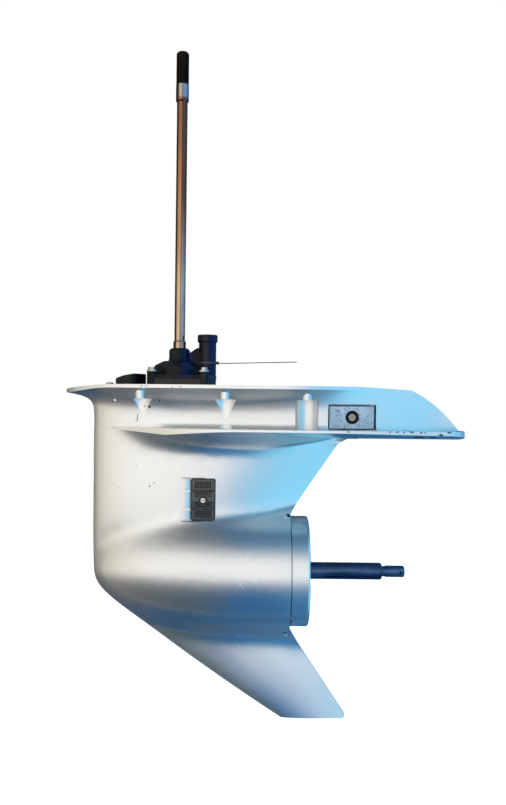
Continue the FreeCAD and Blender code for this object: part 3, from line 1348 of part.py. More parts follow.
def cable_tie():
    """Small tie round the outlet tower, its uncut tail standing out aft."""
    low, high = TIE_Z
    band = tube_z(TOWER_R + TIE_THICK, TOWER_R, low, high, TOWER_X)
    band = band.cut(box((0, TOWER_X), (-9.4, 9.4), (0, 80)))
    head = box((TOWER_X + TOWER_R, TOWER_X + TOWER_R + 4.5), (-2.3, 2.3), (low - 0.8, high + 1))
    start = TOWER_X + TOWER_R + 3
    rise = TIE_RISE / (TIE_TAIL_END_X - start)
    tail = prism_y([(start, low), (TIE_TAIL_END_X, low + rise * (TIE_TAIL_END_X - start)),
                    (TIE_TAIL_END_X, low + rise * (TIE_TAIL_END_X - start) + TIE_THICK),
                    (start, low + TIE_THICK)], 1.25)
    return band.fuse([head.cut(rod_z(TOWER_R, 0, 80, TOWER_X)), tail])


# Outside fittings

SCREEN_COLUMNS = 7
SCREEN_PITCH = 3.5
SCREEN_ROWS = (5.4, 8.0, 10.6, 13.2, 20.6, 23.3, 26.0, 35.0, 37.7, 40.4, 47.8, 50.4, 53.0, 55.6)


def intake_screen_starboard():
    """Moulded mesh in three bays between two bars, on one centre screw."""
    wall = leg_half(0.5 * (INTAKE_X[0] + INTAKE_X[1]), 0.5 * (INTAKE_Z[0] + INTAKE_Z[1]))
    inner = wall - SCREEN_THICK - 0.8
    plate_shape = box(INTAKE_X, (inner, inner + SCREEN_THICK), INTAKE_Z)
    plate_shape = plate_shape.makeFillet(SCREEN_CORNER, edges_across(plate_shape))
    holes = []
    screw_x, screw_z = screen_screw_place()
    for drop in SCREEN_ROWS:
        for i in range(SCREEN_COLUMNS):
            x = 0.5 * (INTAKE_X[0] + INTAKE_X[1]) + SCREEN_PITCH * (i - 0.5 * (SCREEN_COLUMNS - 1))
            z = INTAKE_Z[1] - drop
            if math.hypot(x - screw_x, z - screw_z) > 6.9:
                holes.append(box((x - 1.2, x + 1.2), (inner - 1, inner + 9), (z - 0.9, z + 0.9)))
    plate_shape = plate_shape.cut(holes)
    bays = screen_bays()
    for a, b in ((bays[0][1], bays[1][0]), (bays[1][1], bays[2][0])):
        bar = box((INTAKE_X[0] + 1, INTAKE_X[1] - 1), (inner, inner + SCREEN_THICK + 0.8), (a, b))
        plate_shape = plate_shape.fuse(bar)
    boss = rod_y(5.6, inner, inner + SCREEN_THICK + 0.5, screw_x, screw_z)
    plate_shape = plate_shape.fuse(boss)
    return plate_shape.cut(rod_y(2.2, 0, 80, screw_x, screw_z))


def intake_screws():
    wall = leg_half(0.5 * (INTAKE_X[0] + INTAKE_X[1]), 0.5 * (INTAKE_Z[0] + INTAKE_Z[1]))
    face = wall - 0.3
    x, z = screen_screw_place()
    screw = rod_y(2.0, face - 9, face, x, z).fuse(rod_y(4.0, face, face + 2.4, x, z))
    screw = screw.cut(box((x - 5, x + 5), (face + 1.2, face + 5), (z - 0.6, z + 0.6)))
    return Part.makeCompound(both_sides(screw))


def anode_starboard():
    x, z = anode_bolt_place()
    block = slanted_block(ANODE_X, ANODE_Z, 0.8, ANODE_THICK - 0.8)
    face_y = upper_wall_y(x)
    block = block.makeFillet(2.0, [e for e in block.Edges if e.Length < ANODE_THICK + 1])
    return block.cut([rod_y(4.1, 0, 90, x, z), rod_y(9.5, face_y - 6, 90, x, z)])


def anode_bolts():
    x, z = anode_bolt_place()
    seat = upper_wall_y(x) - 6
    bolt = rod_y(4.0, seat - 20, seat, x, z).fuse(rod_y(6.5, seat, seat + 4, x, z))
    socket = hexagon(6, 0, 6)
    socket.rotate(V(0, 0, 0), V(1, 0, 0), -90)
    socket.translate(V(x, seat + 1.5, z))
    return Part.makeCompound(both_sides(bolt.cut(socket)))


def dowel_pin():
    return turned_z([(0, -8), (DOWEL_R, -8), (DOWEL_R, 2.7), (DOWEL_R - 0.8, 3.5), (0, 3.5)], DOWEL_X)


def oil_plugs():
    plugs = []
    for x, z, seat in plug_places():
        face = seat + 1.0
        plug = rod_y(PLUG_R - 0.02, seat - PLUG_SHANK, face, x, z)
        plug = plug.fuse(rod_y(PLUG_HEAD_R, face, face + PLUG_HEAD, x, z))
        plugs.append(plug.cut(box((x - 9, x + 9), (face + 2.2, face + 9), (z - 0.8, z + 0.8))))
    return Part.makeCompound(plugs)


def plug_gaskets():
    rings = []
    for x, z, seat in plug_places():
        rings.append(rod_y(PLUG_HEAD_R, seat, seat + 1.0, x, z).cut(rod_y(PLUG_R, seat - 1, seat + 2, x, z)))
    return Part.makeCompound(rings)


NODES = {
    "gearcase_housing": gearcase_housing,
    "prop_shaft_holder": prop_shaft_holder,
    "holder_bolts": holder_bolts,
    "holder_o_ring": holder_o_ring,
    "prop_shaft": prop_shaft,
    "prop_shaft_seals": prop_shaft_seals,
    "holder_needle_bearing": holder_needle_bearing,
    "reverse_bearing_outer": reverse_bearing_outer,
    "reverse_bearing_inner": reverse_bearing_inner,
    "reverse_thrust_washer": reverse_thrust_washer,
    "forward_gear": forward_gear,
    "reverse_gear": reverse_gear,
    "forward_bearing_cup": forward_bearing_cup,
    "forward_bearing_cone": forward_bearing_cone,
    "pinion_gear": pinion_gear,
    "pinion_nut": pinion_nut,
    "pinion_needle_bearing": pinion_needle_bearing,
    "drive_shaft": drive_shaft,
    "drive_bearing_cup": drive_bearing_cup,
    "drive_bearing_cone": drive_bearing_cone,
    "seal_housing": seal_housing,
    "drive_shaft_seals": drive_shaft_seals,
    "clutch_dog": clutch_dog,
    "clutch_cross_pin": clutch_cross_pin,
    "clutch_ring_spring": clutch_ring_spring,
    "shift_spool": shift_spool,
    "shift_slider": shift_slider,
    "shift_rod": shift_rod,
    "shift_rod_seal": shift_rod_seal,
    "shift_cover": shift_cover,
    "shift_cover_screws": shift_cover_screws,
    "base_gasket": base_gasket,
    "pump_base": pump_base,
    "wear_plate": wear_plate,
    "impeller_liner": impeller_liner,
    "impeller": impeller,
    "impeller_key": impeller_key,
    "pump_housing": pump_housing,
    "pump_washers": pump_washers,
    "pump_bolts": pump_bolts,
    "water_tube_seal": water_tube_seal,
    "cable_tie": cable_tie,
    "intake_screen_port": lambda: mirrored(intake_screen_starboard()),
    "intake_screen_starboard": intake_screen_starboard,
    "intake_screws": intake_screws,
    "anode_port": lambda: mirrored(anode_starboard()),
    "anode_starboard": anode_starboard,
    "anode_bolts": anode_bolts,
    "dowel_pin": dowel_pin,
    "oil_plugs": oil_plugs,
    "plug_gaskets": plug_gaskets,
}

for name, make in NODES.items():
    shape = make()
    shape.exportStep("parts/" + name + ".step")
    print(name, "valid" if shape.isValid() else "NOT VALID", len(shape.Solids), round(shape.Volume, 1))
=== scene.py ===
import json
import math

import bpy
import bmesh
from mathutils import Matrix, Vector


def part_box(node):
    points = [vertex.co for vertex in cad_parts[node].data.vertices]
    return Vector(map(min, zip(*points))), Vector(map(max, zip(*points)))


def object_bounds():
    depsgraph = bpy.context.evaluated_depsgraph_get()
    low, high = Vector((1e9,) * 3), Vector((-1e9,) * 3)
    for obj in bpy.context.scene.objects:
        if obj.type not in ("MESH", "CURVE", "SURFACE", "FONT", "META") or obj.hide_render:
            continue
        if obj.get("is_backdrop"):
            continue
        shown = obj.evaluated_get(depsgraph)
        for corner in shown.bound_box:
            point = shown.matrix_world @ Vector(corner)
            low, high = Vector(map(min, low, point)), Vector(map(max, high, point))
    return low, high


# %% [markdown]
# This is the lower unit of an outboard motor, seen from its port side: a silver casting with the
# water pump and the drive shaft on top of it, and the propeller shaft at its back.
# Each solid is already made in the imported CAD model, in metres and in its real place. The shapes
# could be modelled here once more, but then they would drift from the real sizes. So the model
# is loaded as a fixed frame, and this script adds what a solid can't say: the camera, the light,
# and a finish for each piece with its paint, grain and wear.

# %% Load the frame
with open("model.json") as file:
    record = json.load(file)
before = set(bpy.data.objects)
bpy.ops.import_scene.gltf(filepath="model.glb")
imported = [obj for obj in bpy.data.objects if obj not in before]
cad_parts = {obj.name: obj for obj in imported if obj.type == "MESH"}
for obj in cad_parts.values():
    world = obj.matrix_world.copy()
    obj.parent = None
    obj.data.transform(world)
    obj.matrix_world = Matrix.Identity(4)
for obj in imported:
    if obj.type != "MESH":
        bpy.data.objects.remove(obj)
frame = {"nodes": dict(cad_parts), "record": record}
nodes = frame["nodes"]
cad_box = [list(corner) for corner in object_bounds()]

# %% [markdown]
# The photograph was taken square to the port side, about 1.2 m away and a little below the deck.
# A camera could be placed by eye, but then each change is a guess. Here its place and its lens
# follow from three things: the point that it looks at, how far off it stands, and how many
# metres one pixel covers on the object's centre plane.
# The object leans by less than a degree in the picture, so the camera rolls the other way.

# %% Camera
VIEW_CENTRE = Vector((0.111, 0.0, -0.0242))
VIEW_DISTANCE = 1.2
VIEW_ROLL = math.radians(0.65)
PIXEL = 0.0015
PICTURE_HEIGHT = 805
SENSOR = 36.0

half_height = 0.5 * PICTURE_HEIGHT * PIXEL
lens = bpy.data.cameras.new("lens")
lens.sensor_width = SENSOR
lens.lens = 0.5 * SENSOR * VIEW_DISTANCE / half_height
camera = bpy.data.objects.new("camera", lens)
camera.location = VIEW_CENTRE - Vector((0.0, VIEW_DISTANCE, 0.0))
camera.rotation_euler = (math.pi / 2, -VIEW_ROLL, 0.0)
bpy.context.scene.collection.objects.link(camera)
bpy.context.scene.camera = camera
bpy.context.scene.view_settings.view_transform = "Standard"
print("lens:", round(lens.lens, 2), "mm")

# %% [markdown]
# A finish is a tree of nodes. In the editor each node is a box and each link a wire, and in a
# script each of them is a call. The calls could be written out for every finish, but a few
# helpers keep the recipes short enough to read.
# A share is a number from 0 to 1 that says how much of something there is at a point. It is
# handed on as a pair: the node that works it out, and which of its outputs it is.

# %% Helpers for node trees


def empty_tree(owner):
    """The node tree of a world or a material, with nothing in it."""
    owner.use_nodes = True
    owner.node_tree.nodes.clear()
    return owner.node_tree


def add(tree, kind, **values):
    """A new node of that kind. Values are properties of the node, or sockets by name."""
    node = tree.nodes.new(kind)
    for name, value in values.items():
        if hasattr(node, name):
            setattr(node, name, value)
        else:
            node.inputs[name.replace("_", " ")].default_value = value
    return node


def join(tree, source, output, target, socket):
    """A link from an output to a socket."""
    tree.links.new(source.outputs[output], target.inputs[socket])


def combine(tree, operation, one, two):
    """One step of maths, such as MAXIMUM or MULTIPLY, on two shares."""
    node = add(tree, "ShaderNodeMath", operation=operation)
    join(tree, *one, node, 0)
    join(tree, *two, node, 1)
    return node


print("helpers: empty_tree, add, join, combine")

# %% Helpers for colours


def grey(value):
    return (value, value, value)


def ramp(tree, source, output, stops):
    """A colour ramp fed by one output. Stops are (place, colour) from low to high."""
    node = tree.nodes.new("ShaderNodeValToRGB")
    join(tree, source, output, node, 0)
    elements = node.color_ramp.elements
    while len(elements) < len(stops):
        elements.new(0.5)
    for element, (place, colour) in zip(elements, stops):
        element.position = place
        element.color = (*colour, 1.0)
    return node


def mix_colour(tree, share, base, other):
    """Mixes two colours by a share. Each of them is a colour, or a (node, output) pair."""
    node = add(tree, "ShaderNodeMix", data_type="RGBA")
    join(tree, *share, node, 0)
    for socket, value in ((6, base), (7, other)):
        if isinstance(value[0], (int, float)):
            node.inputs[socket].default_value = (*value, 1.0)
        else:
            join(tree, *value, node, socket)
    return node, 2


def mix_shaders(tree, share, base, other):
    """The base shader where the share is 0, and the other one where it is 1."""
    node = add(tree, "ShaderNodeMixShader")
    join(tree, *share, node, 0)
    join(tree, base, 0, node, 1)
    join(tree, other, 0, node, 2)
    return node


def along_axis(tree, place, axis, start, end, **limits):
    """Share that runs from 0 to 1 between two places along an axis of the object, in metres."""
    split = add(tree, "ShaderNodeSeparateXYZ")
    join(tree, place, "Object", split, 0)
    share = add(tree, "ShaderNodeMapRange", From_Min=start, From_Max=end, **limits)
    join(tree, split, axis, share, 0)
    return share


print("helpers: grey, ramp, mix_colour, mix_shaders, along_axis")

# %% [markdown]
# Metal shows what stands round it. In a real studio that is white paper, which would also throw
# a lot of light on the object. Here the two are told apart by the kind of ray: the camera,
# reflections and glass see plain white, and the light that falls on the object is weaker and a
# touch blue. That keeps the background white without more light on the object.

# %% World
FILL_BLUE = (0.86, 0.93, 1.0, 1.0)
FILL_STRENGTH = 0.35
PURE_WHITE = (1.0, 1.0, 1.0, 1.0)

world = bpy.data.worlds.new("studio")
sky = empty_tree(world)
bpy.context.scene.world = world
ray = add(sky, "ShaderNodeLightPath")
seen = combine(sky, "MAXIMUM", (ray, "Is Camera Ray"), (ray, "Is Glossy Ray"))
shows_white = combine(sky, "MAXIMUM", (seen, 0), (ray, "Is Transmission Ray"))
fill = add(sky, "ShaderNodeBackground", Color=FILL_BLUE, Strength=FILL_STRENGTH)
white = add(sky, "ShaderNodeBackground", Color=PURE_WHITE, Strength=1.0)
backdrop = mix_shaders(sky, (shows_white, 0), fill, white)
join(sky, backdrop, 0, add(sky, "ShaderNodeOutputWorld"), 0)
print("world: white to the eye, fill light of", FILL_STRENGTH)

# %% [markdown]
# The floor is a sheet of pale paper. A plain diffuse sheet turns grey where little light falls,
# so the camera also sees it glow, and other rays don't. Reflections leave it out, because the
# casting's underside shows dark and blue things in the photograph, not paper.

# %% Floor
FLOOR_Z = -0.62
FLOOR_HALF = 6.0
PAPER = (0.88, 0.88, 0.88, 1.0)
PAPER_GLOW = 0.92


def plain_mesh(name, shape):
    """Turns a bmesh into a linked object whose place is in its mesh."""
    mesh = bpy.data.meshes.new(name)
    shape.to_mesh(mesh)
    shape.free()
    piece = bpy.data.objects.new(name, mesh)
    bpy.context.scene.collection.objects.link(piece)
    return piece


def pale_paper():
    """Diffuse paper that glows for the camera alone."""
    material = bpy.data.materials.new("pale_floor")
    tree = empty_tree(material)
    paper = add(tree, "ShaderNodeBsdfDiffuse", Color=PAPER)
    ray = add(tree, "ShaderNodeLightPath")
    no_glow = add(tree, "ShaderNodeEmission", Strength=0.0)
    glow = add(tree, "ShaderNodeEmission", Strength=PAPER_GLOW)
    shown = mix_shaders(tree, (ray, "Is Camera Ray"), no_glow, glow)
    both = add(tree, "ShaderNodeAddShader")
    join(tree, paper, 0, both, 0)
    join(tree, shown, 0, both, 1)
    join(tree, both, 0, add(tree, "ShaderNodeOutputMaterial"), 0)
    return material


shape = bmesh.new()
bmesh.ops.create_grid(shape, x_segments=1, y_segments=1, size=FLOOR_HALF)
bmesh.ops.translate(shape, verts=shape.verts, vec=(0.0, 0.0, FLOOR_Z))
floor = plain_mesh("floor", shape)
floor.data.materials.append(pale_paper())
floor.visible_glossy = False
floor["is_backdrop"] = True
print("floor at", FLOOR_Z, "m, half a side", FLOOR_HALF, "m")

# %% [markdown]
# The real casting is silver, yet the photograph shows white in front, sky-blue towards the stern
# and slate above and below. These are reflections of what stood round it. They could be painted
# on, but then they would stay in place when the object is turned. So two half spheres of light
# stand round it, one on each side, and the casting mirrors them as the real one does.
# Each half sphere has three bands: level with the object, high and low. In each band the colour
# changes from bow to stern, and the stops below are shares of the sphere's length.

# %% Colours of the light, port side
FRONT_WHITE = (1.42, 1.38, 1.32)
PORT_LEVEL = [(0.0, (0.80, 0.74, 0.62)), (0.07, (1.16, 1.08, 0.92)), (0.24, FRONT_WHITE),
              (0.60, FRONT_WHITE), (0.665, (0.80, 0.92, 1.12)), (0.73, (0.35, 0.92, 1.32)),
              (0.84, (0.38, 1.06, 1.50)), (0.93, (0.36, 0.85, 1.20))]
PORT_HIGH = [(0.10, (0.18, 0.18, 0.17)), (0.44, (0.13, 0.14, 0.14)), (0.50, (0.06, 0.14, 0.26)),
             (0.56, (0.01, 0.22, 0.50)), (0.64, (0.10, 0.48, 0.80)), (0.75, (0.34, 1.0, 1.40))]
PORT_LOW = [(0.10, (0.20, 0.19, 0.17)), (0.42, (0.05, 0.10, 0.14)), (0.48, (0.0, 0.12, 0.37)),
            (0.56, (0.0, 0.17, 0.46)), (0.62, (0.05, 0.29, 0.60)), (0.74, (0.34, 1.00, 1.38))]
print("stops on the port side:", len(PORT_LEVEL) + len(PORT_HIGH) + len(PORT_LOW))

# %% Colours of the light, far side
FAR_LEVEL = [(0.0, (0.50, 0.46, 0.38)), (0.14, (0.20, 0.19, 0.17)), (0.35, (0.05, 0.08, 0.13)),
             (0.62, (0.04, 0.13, 0.25)), (1.0, (0.20, 0.55, 0.90))]
FAR_HIGH = [(0.2, (0.22, 0.22, 0.23)), (0.45, (0.30, 0.34, 0.40)), (0.56, (0.34, 0.46, 0.60)),
            (0.8, (0.10, 0.30, 0.50))]
FAR_LOW = [(0.2, (0.12, 0.13, 0.15)), (0.38, (0.02, 0.09, 0.20)), (0.50, (0.0, 0.13, 0.34)),
           (0.8, (0.01, 0.18, 0.42))]
print("stops on the far side:", len(FAR_LEVEL) + len(FAR_HIGH) + len(FAR_LOW))

# %% [markdown]
# The bands blend softly, because a hard border would show as a line along the whole torpedo.
# The first list says how much of the high band there is at each share of the sphere's height,
# and the second one says the same of the low band.

# %% Light that changes with its place
CARD_CENTRE = Vector((0.1, 0.0, -0.16))
CARD_R = 2.6
HIGH_FROM = [(0.62, 0.0), (0.72, 0.12), (0.80, 0.50), (0.88, 0.88), (0.94, 1.0)]
LOW_FROM = [(0.14, 1.0), (0.24, 0.93), (0.31, 0.76), (0.36, 0.38), (0.40, 0.09), (0.44, 0.0)]


def card_light(name, level, high, low):
    """Emission that changes along X, in three bands: level with the object, high and low."""
    material = bpy.data.materials.new(name)
    tree = empty_tree(material)
    place = add(tree, "ShaderNodeTexCoord")
    along = along_axis(tree, place, "X", CARD_CENTRE.x - CARD_R, CARD_CENTRE.x + CARD_R)
    up = along_axis(tree, place, "Z", CARD_CENTRE.z - CARD_R, CARD_CENTRE.z + CARD_R)
    above = ramp(tree, up, 0, [(height, grey(share)) for height, share in HIGH_FROM])
    below = ramp(tree, up, 0, [(height, grey(share)) for height, share in LOW_FROM])
    bands = [ramp(tree, along, 0, stops) for stops in (level, high, low)]
    upper = mix_colour(tree, (above, 0), (bands[0], 0), (bands[1], 0))
    whole = mix_colour(tree, (below, 0), upper, (bands[2], 0))
    glow = add(tree, "ShaderNodeEmission", Strength=1.0)
    join(tree, *whole, glow, 0)
    join(tree, glow, 0, add(tree, "ShaderNodeOutputMaterial"), 0)
    return material


print("light spans", 2 * CARD_R, "m")

# %% [markdown]
# Each card is half of a sphere. A sphere could be cut with a Boolean, but bisect_plane cuts a
# bmesh in one step and leaves it open, which is what a card needs. Its faces are then turned
# round to point at the object. The camera doesn't see the cards.

# %% Cards of light
RIM_GAP = 0.015


def light_card(name, side, material):
    """Half a sphere on one side of the object, with its hollow side towards it."""
    shape = bmesh.new()
    bmesh.ops.create_uvsphere(shape, u_segments=48, v_segments=24, radius=CARD_R)
    whole = shape.verts[:] + shape.edges[:] + shape.faces[:]
    bmesh.ops.bisect_plane(shape, geom=whole, plane_co=Vector((0.0, side * RIM_GAP, 0.0)),
                           plane_no=Vector((0.0, side, 0.0)), clear_inner=True)
    bmesh.ops.reverse_faces(shape, faces=shape.faces)
    bmesh.ops.translate(shape, verts=shape.verts, vec=CARD_CENTRE)
    card = plain_mesh(name, shape)
    card.data.materials.append(material)
    card.visible_camera = False
    card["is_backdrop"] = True
    return card


light_card("port_card", -1, card_light("port_light", PORT_LEVEL, PORT_HIGH, PORT_LOW))
light_card("starboard_card", 1, card_light("starboard_light", FAR_LEVEL, FAR_HIGH, FAR_LOW))
print("two cards stand", CARD_R, "m off")

# %% [markdown]
# Each finish starts from one Principled shader. Real surfaces are never one flat colour, so
# noise breaks up their colour, their gloss and their surface. The noise reads Object
# coordinates, which are metres here, so its grain keeps its size on every piece and moves with
# a piece that turns.
# Constants go straight on the shader's own sockets, because an export may drop linked ones.

# %% Helpers for finishes
ALL_WAYS = (1.0, 1.0, 1.0)
finishes = {}


def finish_base(name, colour, metallic, roughness):
    """A material with one Principled shader, and the coordinates that its patterns read."""
    material = bpy.data.materials.new(name)
    material.use_nodes = True
    material.diffuse_color = (*colour, 1.0)
    tree = material.node_tree
    shader = tree.nodes["Principled BSDF"]
    shader.inputs["Base Color"].default_value = (*colour, 1.0)
    shader.inputs["Metallic"].default_value = metallic
    shader.inputs["Roughness"].default_value = roughness
    place = add(tree, "ShaderNodeTexCoord")
    return material, tree, shader, place


def noise(tree, place, scale, detail, stretch=ALL_WAYS):
    """Noise over the piece, drawn out along an axis where stretch is below 1."""
    mapping = add(tree, "ShaderNodeMapping", Scale=stretch)
    join(tree, place, "Object", mapping, 0)
    texture = add(tree, "ShaderNodeTexNoise", Scale=scale, Detail=detail)
    join(tree, mapping, 0, texture, 0)
    return texture


# %% Helpers for what noise does
NOISE_LOW, NOISE_HIGH = 0.3, 0.7


def spots(tree, texture, start, full, most=1.0):
    """Share that is 0 where the noise is below start, and most where it is above full."""
    return ramp(tree, texture, 0, [(start, grey(0.0)), (full, grey(most))])


def vary_roughness(tree, shader, texture, low, high):
    """Roughness between low and high, as the noise says."""
    spread = add(tree, "ShaderNodeMapRange", From_Min=NOISE_LOW, From_Max=NOISE_HIGH,
                 To_Min=low, To_Max=high)
    join(tree, texture, 0, spread, 0)
    join(tree, spread, 0, shader, "Roughness")


def roughen(tree, shader, texture, strength, depth):
    """Bump from a texture, to a depth in metres."""
    bump = add(tree, "ShaderNodeBump", Strength=strength, Distance=depth)
    join(tree, texture, 0, bump, "Height")
    join(tree, bump, 0, shader, "Normal")


print("helpers: spots, vary_roughness, roughen")

# %% [markdown]
# The casting has seen use: chips along the plate's edge show dark metal, small dents lie by the
# holder's ring, and a few bright scratches cross the torpedo. A few of the dark marks are small
# holes in the casting, painted dark as painted shade. Such marks could be painted in an image,
# but a list of small soft ellipses needs no file and is easy to move.
# Each mark is (x, z, half length, half height, turn), in millimetres and degrees.

# %% Places of the marks
CHIPS_AND_HOLE_SHADE = [(-47, -2.6, 1.6, 0.7, 0), (-39.5, -2.4, 2.2, 0.6, 0), (-2.7, -3.9, 1.2, 0.7, 0),
         (9, -3.4, 1.5, 0.6, 0), (301, -62.9, 1.6, 0.8, 0), (311, -62.9, 2.4, 0.8, 0),
         (320, -63.2, 1.5, 1.0, 0), (331, -62.8, 3.2, 1.0, 8), (344.5, -63.4, 2.2, 0.8, 0),
         (350, -63.4, 1.4, 0.8, 0), (384, -63.1, 3.4, 1.0, 5), (243, -63.3, 3.0, 0.6, 0),
         (345, -70.6, 9.0, 1.1, 0), (366, -71.2, 6.0, 1.3, 0), (372, -66.5, 3.5, 1.2, 0),
         (-57.3, -45.5, 0.7, 3.0, 8), (-57.0, -49.5, 0.7, 2.6, -12), (-58.6, -52.4, 1.8, 0.6, 20),
         (165.0, -189.6, 3.4, 1.9, 25), (161.5, -363.0, 3.6, 1.0, -8),
         (-125.6, -211.0, 1.1, 3.2, 0), (-58, -118, 0.9, 0.5, 0), (-84, -150, 0.6, 0.6, 0),
         # The round marks on this line and the next are small holes, painted dark as painted
         # shade.
         (-39.5, -32.0, 1.9, 1.9, 0), (-24.7, -22.8, 1.9, 1.9, 0), (-94.8, -24.7, 0.9, 1.1, 0),
         (-37.7, -147.5, 1.2, 1.2, 0)]
SCRATCHES = [(-1.5, -82.0, 19.6, 0.35, 20), (96.0, -280.5, 0.45, 4.6, 14),
             (99.5, -285.5, 0.4, 2.4, -20), (103.0, -288.0, 0.35, 2.0, 24),
             (124.0, -297.5, 3.4, 0.5, 8), (161.0, -192.4, 3.6, 1.3, 22),
             (163.4, -368.6, 3.8, 3.0, 35), (-92.6, -27.6, 0.9, 0.8, 0)]
print("chips:", len(CHIPS_AND_HOLE_SHADE), "scratches:", len(SCRATCHES))

# %% [markdown]
# A Mapping node of the TEXTURE kind turns the piece's coordinates into those of one ellipse: the
# mark is then wherever the distance from zero is below 1. It is drawn right through the piece
# along Y, so a second share keeps it on the port side. A little noise on the coordinates makes
# its edge ragged, as chipped paint is.

# %% Marks of wear and painted hole shade
MILLI = 1000.0
THROUGH = 1000.0
MARK_INNER, MARK_OUTER = 0.75, 1.1
RAGGED_SCALE = 700.0
RAGGED_BY = 0.0009


def one_mark(tree, moved, x, z, length, height, turn):
    """Share that is 1 inside one ellipse."""
    local = add(tree, "ShaderNodeMapping", vector_type="TEXTURE",
                Location=(x / MILLI, 0.0, z / MILLI), Rotation=(0.0, math.radians(turn), 0.0),
                Scale=(length / MILLI, THROUGH, height / MILLI))
    join(tree, moved, 0, local, 0)
    far = add(tree, "ShaderNodeVectorMath", operation="LENGTH")
    join(tree, local, 0, far, 0)
    inside = add(tree, "ShaderNodeMapRange", From_Min=MARK_INNER, From_Max=MARK_OUTER,
                 To_Min=1.0, To_Max=0.0)
    join(tree, far, "Value", inside, 0)
    return inside


def marked(tree, place, marks):
    """Share that is 1 inside any of the marks on the port side, with ragged edges."""
    wobble = add(tree, "ShaderNodeMapRange", To_Min=-RAGGED_BY, To_Max=RAGGED_BY)
    join(tree, noise(tree, place, RAGGED_SCALE, 2.0), 0, wobble, 0)
    moved = add(tree, "ShaderNodeVectorMath", operation="ADD")
    join(tree, place, "Object", moved, 0)
    join(tree, wobble, 0, moved, 1)
    total = one_mark(tree, moved, *marks[0])
    for mark in marks[1:]:
        total = combine(tree, "MAXIMUM", (total, 0), (one_mark(tree, moved, *mark), 0))
    port = along_axis(tree, place, "Y", -0.002, 0.0, To_Min=1.0, To_Max=0.0)
    return combine(tree, "MULTIPLY", (total, 0), (port, 0))


print("edges are ragged by", RAGGED_BY * MILLI, "mm")

# %% [markdown]
# Some changes of colour follow a shape: the dark room behind a screen, the frame round an
# anode's face, the ring round a bolt. Two helpers say where a point is, one against a box and
# one against a circle. They take their sizes from the CAD pieces, so they stay in place if the
# pieces change.

# %% Boxes and circles


def inside_box(tree, place, centre, half, soft=0.02):
    """Share that is 1 inside a box. Centre and half sizes are in metres."""
    local = add(tree, "ShaderNodeMapping", vector_type="TEXTURE", Location=centre, Scale=half)
    join(tree, place, "Object", local, 0)
    size = add(tree, "ShaderNodeVectorMath", operation="ABSOLUTE")
    join(tree, local, 0, size, 0)
    split = add(tree, "ShaderNodeSeparateXYZ")
    join(tree, size, 0, split, 0)
    pair = combine(tree, "MAXIMUM", (split, "X"), (split, "Y"))
    largest = combine(tree, "MAXIMUM", (pair, 0), (split, "Z"))
    share = add(tree, "ShaderNodeMapRange", From_Min=1.0 - soft, From_Max=1.0 + soft,
                To_Min=1.0, To_Max=0.0)
    join(tree, largest, 0, share, 0)
    return share


def beyond(tree, place, bolts, radius):
    """Share that is 1 outside a circle round the axis of a pair of bolts, one on each side."""
    low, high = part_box(bolts)
    middle = (low + high) / 2
    local = add(tree, "ShaderNodeMapping", vector_type="TEXTURE",
                Location=(middle.x, 0.0, middle.z), Scale=(radius, THROUGH, radius))
    join(tree, place, "Object", local, 0)
    far = add(tree, "ShaderNodeVectorMath", operation="LENGTH")
    join(tree, local, 0, far, 0)
    share = add(tree, "ShaderNodeMapRange", From_Min=0.96, From_Max=1.04)
    join(tree, far, "Value", share, 0)
    return share


screen_low, screen_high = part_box("intake_screen_port")
screen_middle = (screen_low + screen_high) / 2
screen_half = (screen_high - screen_low) / 2
print("intake screen:", [round(2 * MILLI * side, 1) for side in screen_half], "mm")

# %% [markdown]
# Ahead of each intake screen the casting has a scoop: its floor leaves the flank smoothly and
# dives under the screen. The solid has a flat slope there, with a crease at its start. More
# faces could round it, but the bend is only 2 mm deep, so a bump that grows with the square of
# the distance is enough to soften the crease.

# %% Bend of the intake's scoop
SCOOP_LENGTH = 0.0150
SCOOP_BEND = 0.0022
SCREEN_CLEAR = 0.0006
SCOOP_HALF_X = 0.03
SCOOP_CENTRE_AHEAD = 0.01
SCOOP_TALLER = 0.0008


def scoop_height(tree, place):
    """Height of the bump: highest at the screen, and falling off with the square ahead of it."""
    start = screen_low.x - SCREEN_CLEAR
    ahead = along_axis(tree, place, "X", start, screen_low.x - SCOOP_LENGTH)
    squared = combine(tree, "MULTIPLY", (ahead, 0), (ahead, 0))
    level = add(tree, "ShaderNodeMapRange", To_Min=1.0, To_Max=0.0)
    join(tree, squared, 0, level, 0)
    centre = (screen_low.x - SCOOP_CENTRE_AHEAD, 0.0, screen_middle.z)
    half = (SCOOP_HALF_X, 1.0, screen_half.z + SCOOP_TALLER)
    floor_box = inside_box(tree, place, centre, half)
    return combine(tree, "MULTIPLY", (level, 0), (floor_box, 0))


print("scoop:", SCOOP_LENGTH * MILLI, "mm long, bent by", SCOOP_BEND * MILLI, "mm")
